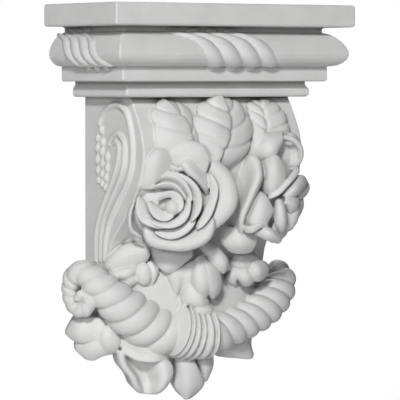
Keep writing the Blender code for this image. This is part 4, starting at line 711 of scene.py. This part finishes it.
def rope():
    """The swag: a thick twisted rope, bound in the middle, that thins to a curled horn at each end."""
    shapes = []
    for knots, twist, strands, places, sizes, bulges in ARMS:
        line = path(seen(knots), ROPE_POINTS)
        run = np.concatenate([[0], np.cumsum(np.linalg.norm(np.diff(line, axis=0), axis=1))])
        thick = follow(places, sizes, run)
        bulge = follow(places, bulges, run)
        phase = np.concatenate([[0], np.cumsum(np.diff(run) / bulge[1:])])
        turn = np.arange(ROPE_SIDES) / ROPE_SIDES
        lobe = np.abs(np.sin(math.pi * (phase[:, None] - twist * strands * turn[None, :]))) ** ROPE_ROUND
        shapes.append(tube(line, thick[:, None] * (1 - GROOVE + GROOVE * lobe), ROPE_SIDES))
    along = np.linspace(0, 1, BAND_POINTS)
    radius = np.full(BAND_POINTS, BANDS - BAND_GROOVE)
    for k, (a, b) in enumerate(zip(BAND_EDGES[:-1], BAND_EDGES[1:])):
        inside = np.clip((along - a) / (b - a), 0, 1)
        rise = BAND_GROOVE * np.sin(math.pi * inside) ** BAND_FULLNESS * (inside > 0) * (inside < 1)
        radius = np.maximum(radius, BANDS - BAND_GROOVE + rise - FIRST_BAND_DROP * (k == 0))
    shapes.append(tube(path(BAND_LINE, BAND_POINTS), radius, BAND_SIDES))
    return shapes


BOTTOM_LEAVES = (
    # lines (right, up, out) as seen, puff
    # left: three lobes under the curl
    ((((-56, -70, 50), (-63, -85, 48), (-57, -89, 49)),
      ((-50, -72, 53), (-54, -84, 55), (-52, -90, 53)),
      ((-42, -74, 52), (-44, -84, 54), (-46, -89, 53)),
      ((-32, -76, 50), (-34, -86, 54), (-40, -91, 52))), 0.8),
    ((((-57, -86, 47), (-57.4, -94, 47), (-51, -100.4, 46)),
      ((-48, -86, 52), (-47, -94, 52), (-45.6, -101, 47)),
      ((-38, -86, 53), (-37, -93, 52), (-40, -98, 48)),
      ((-28, -84, 52), (-26.6, -90, 50), (-33, -97, 47))), 0.8),
    # a fold that laps over their right
    ((((-41.6, -76.8, 52), (-42.6, -83.2, 53), (-41.6, -89.6, 53), (-38.4, -97, 49)),
      ((-36.3, -79, 55), (-36.8, -85.3, 57), (-36.3, -90.6, 56), (-35.2, -96.5, 50)),
      ((-31, -80, 53), (-28.3, -86.4, 53), (-28.8, -91.7, 52), (-32, -96.2, 49))), 0.6),
    # middle: the open leaf, a cup with a rolled left edge, and its upper flap
    ((((-31.5, -93.8, 49), (-29.5, -104.4, 47), (-23.5, -112, 45), (-20.8, -118.2, 43),
       (-17.2, -121.9, 41)),
      ((-28.3, -95, 53), (-26, -104.4, 52.5), (-20.6, -111.9, 50.5), (-18, -118.2, 48),
       (-15, -122.4, 42)),
      ((-24, -96, 46), (-21.6, -105, 43), (-17.4, -112, 41), (-14.6, -118.4, 41), (-12.8, -123, 41)),
      ((-15, -98, 45), (-12, -106.6, 38.5), (-10, -113, 38), (-9.4, -118.6, 41), (-9.8, -123.3, 41)),
      ((-5, -99.1, 49), (-2, -106.6, 50), (-1.6, -114, 50), (-3.6, -119.3, 48), (-6.4, -123.1, 42)),
      ((1.4, -99.7, 46), (4.9, -104.4, 47), (5.3, -110.8, 47), (2.1, -117.2, 45), (-2.9, -121.6, 41))),
      0.2),
    ((((-27.8, -87.2, 53), (-14, -91.7, 55), (-5.5, -94.7, 53), (1.4, -98.6, 46)),
      ((-28, -91.7, 52), (-16.1, -97, 53.5), (-5.5, -98.9, 52.5), (1.4, -99.8, 46)),
      ((-27.6, -96, 52), (-18.2, -101.5, 55), (-7.6, -102.8, 54), (0, -101, 46))), 0.4),
    # right of the middle: a folded leaf that ends in a point, and two behind it
    ((((4, -96, 38), (7, -108, 37), (6, -117, 35), (13, -126.4, 32)),
      ((9, -96, 42), (13, -108, 42), (15, -118, 39), (14, -126.4, 33)),
      ((14, -96, 40), (20, -108, 38), (22, -116, 34), (15, -126, 31)),
      ((16, -98, 34), (21.6, -110, 31), (25, -115, 28), (16, -125.6, 29))), 0.6),
    ((((12, -98, 28), (20, -106, 28), (23, -115, 24)), ((20, -96, 32), (25, -104, 31), (25, -115, 25)),
      ((31, -94, 28), (31, -104, 24), (26, -115, 22))), 0.8),
    ((((28, -84, 12), (31, -92, 10), (33, -98.6, 6)), ((38, -84, 14), (40, -92, 13), (44, -99.4, 6)),
      ((50, -82, 8), (51, -91, 6), (54.4, -100.4, 0)),
      ((58, -80, -4), (55, -90, -4), (56.6, -97.6, -8))), 0.8),
)


def bottom_leaves():
    """Leaves that hang below the rope, their backs against the wall."""
    shapes = []
    for lines, puff in BOTTOM_LEAVES:
        shapes.append(blade(seen_lines(lines), puff, thick=1.2, back=44, rear=LEAF_BACK, rim=5))
    shapes.append(ball(seen((-33, -84, 46)), (8, 8, 7)))
    shapes.append(ball(seen((-28.6, -93, 45)), (5, 5, 5)))
    return shapes


RIBS = (
    ((-23, -37.5), (-25.1, -22.8), (-29.8, -11.5), (-37.5, -1.5), (-46.4, 8.5), (-53.3, 18.3), (-56.6, 28),
     (-56.6, 39), (-54.1, 49.9), (-49, 58.8), (-40.1, 62.8), (-27.2, 60), (-19.4, 54.3), (-17.3, 49.4)),
    ((-18.3, -37.8), (-18.9, -27.3), (-21.5, -16), (-27.2, -4.7), (-36.2, 6.8), (-43.9, 18), (-47.7, 29.2),
     (-46.4, 40.2), (-40.1, 44.2), (-32.3, 42), (-28.5, 37.1)),
    ((-13.1, -38), (-13.1, -27.5), (-15.5, -16.3), (-20.7, -4.9), (-28.5, 6.5), (-36.2, 17.8), (-40.6, 29),
     (-41, 36), (-37.6, 39.6), (-33.6, 38)),
)
BUDS = (
    (-20, 46.6, 3.2), (-15.8, 41.4, 3), (-21.4, 39, 3.4), (-15.4, 35, 3.2), (-20.8, 32.4, 3.4),
    (-26.8, 29.6, 3.6), (-15.4, 27.8, 3.4), (-21.2, 25.4, 3.4), (-26.6, 22.6, 3.4), (-15.8, 20.8, 3.2),
    (-21, 18.6, 3.2), (-25.6, 16.2, 3), (-17, 14.6, 2.8), (-21.4, 12, 3), (-25, 9.8, 2.8),
)


def scroll_side(side):
    """Beads and leaf buds on one flank: long ribs that spring from the foot and arch over at the top."""
    shapes = []
    for rib in RIBS:
        line = path([(side * DRAWN_SIDE, y, z) for y, z in rib], RIB_POINTS)
        size = RIB * np.sin(math.pi * np.linspace(*RIB_SPAN, RIB_POINTS)) ** RIB_TAPER
        shapes.append(tube(line, size, RIB_SIDES, across=(1, 0, 0)))
    for y, z, size in BUDS:
        shapes.append(ball((side * DRAWN_SIDE, y, z), (BUD_STAND, size * BUD_WIDTH, size), *BUD_GRID))
    return shapes


def torus_point(height, face=0):
    """How far the torus is set back at a height above its widest line; face: 0 front, -1 and 1 the sides."""
    upper = np.clip(height / TORUS_UPPER, 0, 1)
    lower = np.clip(-height / TORUS_LOWER, 0, 1)
    above = (1 - upper ** (2 / TORUS_FULLNESS)) ** (TORUS_FULLNESS / 2)
    swell = np.where(height > 0, above, np.sqrt(1 - lower ** 2))
    edge = np.where(height > 0, NECK_SETBACK, FILLET_SETBACK)
    widest = TORUS_SIDE_SETBACK if face else TORUS_SETBACK
    return edge - (edge - widest) * swell


def on_face(face, along, stand, height):
    """Places on the front (face 0), along from its middle, or on a side (-1, 1), along from the wall.
    stand: how far they are set back from the slab's face there."""
    along, stand, height = np.broadcast_arrays(along, stand, height)
    if face == 0:
        return np.stack([along, stand - DEPTH, height], axis=-1)
    return np.stack([face * (HALF - stand), -along, height], axis=-1)


def torus_wrap(face):
    """Twisted leaf wrapped round the middle of the torus: ridges that end in lobes below and above."""
    spacing, slant, middle = WRAP_RIDGE, 1.0, 0.0
    if face:
        spacing, slant, middle = WRAP_RIDGE * SIDE_RIDGE, SIDE_SLANT, DEPTH * SIDE_PLACE
    level = np.linspace(*WRAP_ENDS, WRAP_ROWS)[:, None]
    height = level * np.where(level > 0, TORUS_UPPER, TORUS_LOWER)
    ridge = np.linspace(-2, 2, WRAP_COLUMNS)[None, :]
    slide = slant * follow(WRAP_LEVEL, WRAP_SLIDE, level.ravel())[:, None]
    rise = WRAP_RISE * np.abs(np.sin(math.pi * ridge)) ** WRAP_ROUND * np.ones_like(level)
    sheet = on_face(face, middle + ridge * spacing + slide, torus_point(height, face) + WRAP_SUNK,
                    TORUS_MIDDLE + height)
    if face == 1:
        sheet = sheet[:, ::-1]
        rise = rise[:, ::-1]
    shapes = [skin(sheet, rise, WRAP_BACK)]
    wide = LOBE_WIDTH * spacing
    size = (LOBE_STAND, wide, LOBE_HEIGHT) if face else (wide, LOBE_STAND, LOBE_HEIGHT)
    for k in (-1.5, -0.5, 0.5):
        along = middle + k * spacing + slant * WRAP_SLIDE[0]
        below = on_face(face, along, FILLET_SETBACK + LOBE_SUNK, FILLET_TOP - LOBE_DROP)
        along = middle + (k + 1) * spacing + slant * WRAP_SLIDE[-2]
        above = on_face(face, along, NECK_SETBACK + LOBE_SUNK, TORUS_TOP)
        shapes += [ball(below, size, *LOBE_GRID), ball(above, size, *LOBE_GRID)]
    return shapes


# Assembly

def plan(half, depth, z):
    """Outline of the block at one height: square against the wall, with its two front corners rounded."""
    points = [(-half, 0.0, z)]
    for side, first in ((-1, 180), (1, 270)):
        for k in range(CORNER_STEPS + 1):
            angle = math.radians(first + 90 * k / CORNER_STEPS)
            points.append((side * (half - PLAN_CORNER) + PLAN_CORNER * math.cos(angle),
                           -(depth - PLAN_CORNER) + PLAN_CORNER * math.sin(angle), z))
    points.append((half, 0.0, z))
    return points


def block_levels():
    """Each line of the mouldings from the top down: setback on the front, on the sides, and height."""
    levels = []
    turns = [math.pi / 2 * k / EDGE_STEPS for k in range(EDGE_STEPS + 1)]
    for turn in turns:
        edge = SLAB_EDGE * (1 - math.sin(turn))
        levels.append((edge, edge, TOP - SLAB_EDGE * (1 - math.cos(turn))))
    for turn in turns:
        edge = SLAB_EDGE * (1 - math.cos(turn))
        levels.append((edge, edge, TOP - SLAB_HEIGHT + SLAB_EDGE * (1 - math.sin(turn))))
    for share in (0.0, COVE_END):
        cove = NECK_SETBACK - NECK_COVE * (1 - share / COVE_END)
        levels.append((cove, cove, TOP - SLAB_HEIGHT - FLAT - NECK_HEIGHT * share))
    for level in TORUS_LEVELS:
        height = level * (TORUS_UPPER if level > 0 else TORUS_LOWER)
        levels.append((float(torus_point(height)), float(torus_point(height, 1)), TORUS_MIDDLE + height))
    neck = STEP_SETBACK + STEP_NECK
    for setback, z in ((FILLET_SETBACK, STEP_TOP + FILLET_EDGE), (FILLET_SETBACK + FILLET_EDGE, STEP_TOP),
                       (neck, STEP_TOP - FLAT), (neck, STEP_TOP - STEP_NECK_END * STEP_HEIGHT),
                       (STEP_SETBACK, STEP_TOP - STEP_COVE_END * STEP_HEIGHT),
                       (STEP_SETBACK, BODY_TOP + STEP_EDGE), (STEP_SETBACK + STEP_EDGE, BODY_TOP)):
        levels.append((setback, setback, z))
    return levels


def block(body_only=False):
    """The moulded block, or its scrolled body alone."""
    rings = []
    if not body_only:
        rings = [plan(HALF - aside, DEPTH - ahead, z) for ahead, aside, z in block_levels()]
    for share in (BODY_START[0], *np.linspace(BODY_START[1], 1, BODY_RINGS)):
        stand = front(DRAWN_TOP - share * DRAWN_HEIGHT) * DEPTH / DRAWN_DEPTH
        rings.append(plan(SIDE, float(stand), BODY_TOP - share * BODY_HEIGHT))
    size = len(rings[0])
    points = np.array(rings).reshape(-1, 3)
    faces = [list(range(size)), list(range((len(rings) - 1) * size, len(rings) * size))[::-1]]
    for i in range(len(rings) - 1):
        for j in range(size):
            k = (j + 1) % size
            faces.append([i * size + j, (i + 1) * size + j, (i + 1) * size + k, i * size + k])
    return points, faces


def put(name, data):
    obj = bpy.data.objects.new(name, data)
    bpy.context.scene.collection.objects.link(obj)
    return obj


def make_object(name, shapes):
    mesh = bpy.data.meshes.new(name)
    points, faces, first = [], [], 0
    for shape_points, shape_faces in shapes:
        points.append(np.asarray(shape_points) * MM)
        faces.extend([[first + v for v in face] for face in shape_faces])
        first += len(shape_points)
    mesh.from_pydata(np.concatenate(points).tolist(), [], faces)
    bm = bmesh.new()
    bm.from_mesh(mesh)
    bmesh.ops.recalc_face_normals(bm, faces=bm.faces)
    bm.to_mesh(mesh)
    bm.free()
    return put(name, mesh)


def bake(obj):
    """Turns what the modifiers make into the object's own mesh."""
    graph = bpy.context.evaluated_depsgraph_get()
    mesh = bpy.data.meshes.new_from_object(obj.evaluated_get(graph))
    obj.modifiers.clear()
    obj.data = mesh


def largest_island(obj):
    """Keeps the biggest joined body of the mesh and drops loose crumbs."""
    bm = bmesh.new()
    bm.from_mesh(obj.data)
    left = set(bm.verts)
    islands = []
    while left:
        island = [left.pop()]
        for vert in island:
            near = {end for edge in vert.link_edges for end in edge.verts} & left
            left -= near
            island += near
        islands.append(island)
    islands.sort(key=len)
    loose = [vert for island in islands[:-1] for vert in island]
    bmesh.ops.delete(bm, geom=loose, context="VERTS")
    bm.to_mesh(obj.data)
    bm.free()


def carving_shapes():
    shapes = face_rose() + side_rose() + top_leaves() + lower_leaves() + rope() + bottom_leaves()
    for side in (-1, 1):
        shapes += scroll_side(side)
    shapes = [(fit(points), faces) for points, faces in shapes]
    for face in (-1, 0, 1):
        shapes += torus_wrap(face)
    return shapes


def cutter(name, low, high):
    """Box that cuts the part."""
    bm = bmesh.new()
    bmesh.ops.create_cube(bm, size=1.0)
    for vert in bm.verts:
        for axis in range(3):
            vert.co[axis] = (low[axis] if vert.co[axis] < 0 else high[axis]) * MM
    mesh = bpy.data.meshes.new(name)
    bm.to_mesh(mesh)
    bm.free()
    return put(name, mesh)


def join_by(obj, other, operation):
    """Joins or cuts. The thinned-out carving can cross itself, and this solver keeps its body closed."""
    boolean = obj.modifiers.new(operation.lower(), "BOOLEAN")
    boolean.operation = operation
    boolean.solver = "MANIFOLD"
    boolean.object = other
    bake(obj)
    bpy.data.objects.remove(other, do_unlink=True)


def add_node(tree, kind, **values):
    """New shader node with values in its inputs; an underscore stands for the space in an input's name."""
    node = tree.nodes.new("ShaderNode" + kind)
    for name, value in values.items():
        node.inputs[name.replace("_", " ")].default_value = value
    return node


def plaster():
    """Matte white cast: faint mottling, a fine grain, and painted shade, a darker tone in the deep recesses
    set by ambient occlusion.
    """
    material = bpy.data.materials.new("cast")
    material.use_nodes = True
    tree = material.node_tree
    links = tree.links
    shader = tree.nodes["Principled BSDF"]
    shader.inputs["Roughness"].default_value = ROUGHNESS
    shader.inputs["Metallic"].default_value = 0.0
    shader.inputs["Specular IOR Level"].default_value = SPECULAR
    place = add_node(tree, "TexCoord")
    mottle = add_node(tree, "TexNoise", Scale=MOTTLE_SCALE, Detail=MOTTLE_DETAIL)
    links.new(place.outputs["Object"], mottle.inputs["Vector"])
    tone = add_node(tree, "ValToRGB")
    for stop, position, colour in zip(tone.color_ramp.elements, TONE_STOPS, (TONE_LOW, TONE_HIGH)):
        stop.position = position
        stop.color = colour
    links.new(mottle.outputs["Fac"], tone.inputs["Fac"])
    # Painted shade: ambient occlusion darkens the base colour in creases and recesses, where shade falls
    occlusion = add_node(tree, "AmbientOcclusion", Distance=PAINTED_SHADE_REACH)
    occlusion.samples = PAINTED_SHADE_SAMPLES
    occlusion.only_local = True
    openness = add_node(tree, "MapRange", From_Min=PAINTED_SHADE_RANGE[0], From_Max=PAINTED_SHADE_RANGE[1])
    links.new(occlusion.outputs["AO"], openness.inputs["Value"])
    shade = add_node(tree, "Mix")
    shade.data_type = "RGBA"
    shade.inputs["A"].default_value = PAINTED_SHADE_TONE
    links.new(openness.outputs["Result"], shade.inputs["Factor"])
    links.new(tone.outputs["Color"], shade.inputs["B"])
    links.new(shade.outputs["Result"], shader.inputs["Base Color"])
    grain = add_node(tree, "TexNoise", Scale=GRAIN_SCALE, Detail=GRAIN_DETAIL)
    links.new(place.outputs["Object"], grain.inputs["Vector"])
    bump = add_node(tree, "Bump", Strength=GRAIN_STRENGTH, Distance=GRAIN_HEIGHT)
    links.new(grain.outputs["Fac"], bump.inputs["Height"])
    links.new(bump.outputs["Normal"], shader.inputs["Normal"])
    return material


def add_light(name, aside, height, energy, size):
    """Square soft light, aside degrees to the left of the front and height degrees up, facing the corbel."""
    light = bpy.data.lights.new(name, "AREA")
    light.energy = energy
    light.size = size
    obj = put(name, light)
    aside = math.radians(aside)
    height = math.radians(height)
    level = math.cos(height)
    away = Vector((-math.sin(aside) * level, -math.cos(aside) * level, math.sin(height)))
    obj.location = away * LIGHT_FROM
    obj.rotation_euler = away.to_track_quat("Z", "Y").to_euler()


def set_sky(ahead):
    """Soft light from all round, strongest from the viewer's side, and white straight behind the corbel."""
    world = bpy.data.worlds.new("studio")
    world.use_nodes = True
    tree = world.node_tree
    links = tree.links
    place = add_node(tree, "TexCoord")
    facing = add_node(tree, "VectorMath")
    facing.operation = "DOT_PRODUCT"
    facing.inputs[1].default_value = ahead
    links.new(place.outputs["Generated"], facing.inputs[0])
    share = add_node(tree, "MapRange", From_Min=-1.0, From_Max=1.0)
    links.new(facing.outputs["Value"], share.inputs["Value"])
    ramp = add_node(tree, "ValToRGB")
    stops = ramp.color_ramp.elements
    while len(stops) < len(SKY):
        stops.new(0.5)
    for stop, (position, level) in zip(stops, SKY):
        stop.position = position
        stop.color = (level, level, level, 1.0)
    links.new(share.outputs["Result"], ramp.inputs["Fac"])
    links.new(ramp.outputs["Color"], tree.nodes["Background"].inputs["Color"])
    bpy.context.scene.world = world


def set_studio():
    """Pale floor, soft lights from the front left, and the camera at the corbel's front left corner."""
    ahead = Vector((math.sin(VIEW_TURN), math.cos(VIEW_TURN), 0))
    set_sky(ahead)
    for light in LIGHTS:
        add_light(*light)
    camera = bpy.data.cameras.new("camera")
    camera.lens = LENS
    camera.sensor_width = SENSOR
    obj = put("camera", camera)
    obj.location = -ahead * VIEW_FROM * MM + Vector((0, 0, EYE * MM))
    obj.rotation_euler = (math.pi / 2 - math.atan(VIEW_DROP), 0, -VIEW_TURN - math.atan(VIEW_SIDEWAYS))
    bpy.context.scene.camera = obj
    bpy.context.scene.view_settings.view_transform = "Standard"
    mesh = bpy.data.meshes.new("floor")
    reach = FLOOR_SIZE / 2
    corners = [(x * reach, y * reach, FLOOR) for x, y in ((-1, -1), (1, -1), (1, 1), (-1, 1))]
    mesh.from_pydata(corners, [], [(0, 1, 2, 3)])
    floor = put("floor", mesh)
    paint = bpy.data.materials.new("floor")
    paint.use_nodes = True
    shader = paint.node_tree.nodes["Principled BSDF"]
    shader.inputs["Base Color"].default_value = FLOOR_TONE
    shader.inputs["Roughness"].default_value = FLOOR_ROUGHNESS
    mesh.materials.append(paint)


def make_corbel():
    """The whole casting: body and carving melted together, with the crisp mouldings joined on."""
    carving = make_object("corbel_cast", carving_shapes() + [block(body_only=True)])
    melt = carving.modifiers.new("fuse", "REMESH")
    melt.mode = "VOXEL"
    melt.voxel_size = VOXEL * MM
    bake(carving)
    soften = carving.modifiers.new("soften", "SMOOTH")
    soften.factor = SOFTEN
    soften.iterations = SOFTEN_TIMES
    bake(carving)
    carving.data.calc_loop_triangles()
    decimate = carving.modifiers.new("thin_out", "DECIMATE")
    decimate.ratio = min(1.0, TRIANGLES / len(carving.data.loop_triangles))
    decimate.use_collapse_triangulate = True
    bake(carving)
    join_by(carving, make_object("mouldings", [block()]), "UNION")
    wall = cutter("wall", (-2 * WIDTH, 0.0, -2 * WIDTH), (2 * WIDTH, 2 * DEPTH, 2 * WIDTH))
    join_by(carving, wall, "DIFFERENCE")
    across, level = FRONT_PIT
    places = [*PITS, (across, -float(front(level)), level)]
    pits = make_object("pits", [ball(place, (PIT, PIT, PIT), *PIT_GRID) for place in places])
    join_by(carving, pits, "DIFFERENCE")
    largest_island(carving)
    carving.data.materials.clear()
    carving.data.materials.append(plaster())
    carving.data.shade_smooth()
    carving.data.set_sharp_from_angle(angle=math.radians(SHARP_ANGLE))
    even = carving.modifiers.new("even_faces", "WEIGHTED_NORMAL")
    even.keep_sharp = True
    return carving


corbel = make_corbel()
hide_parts("corbel")
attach(corbel, "root")
set_studio()
bpy.context.view_layer.update()
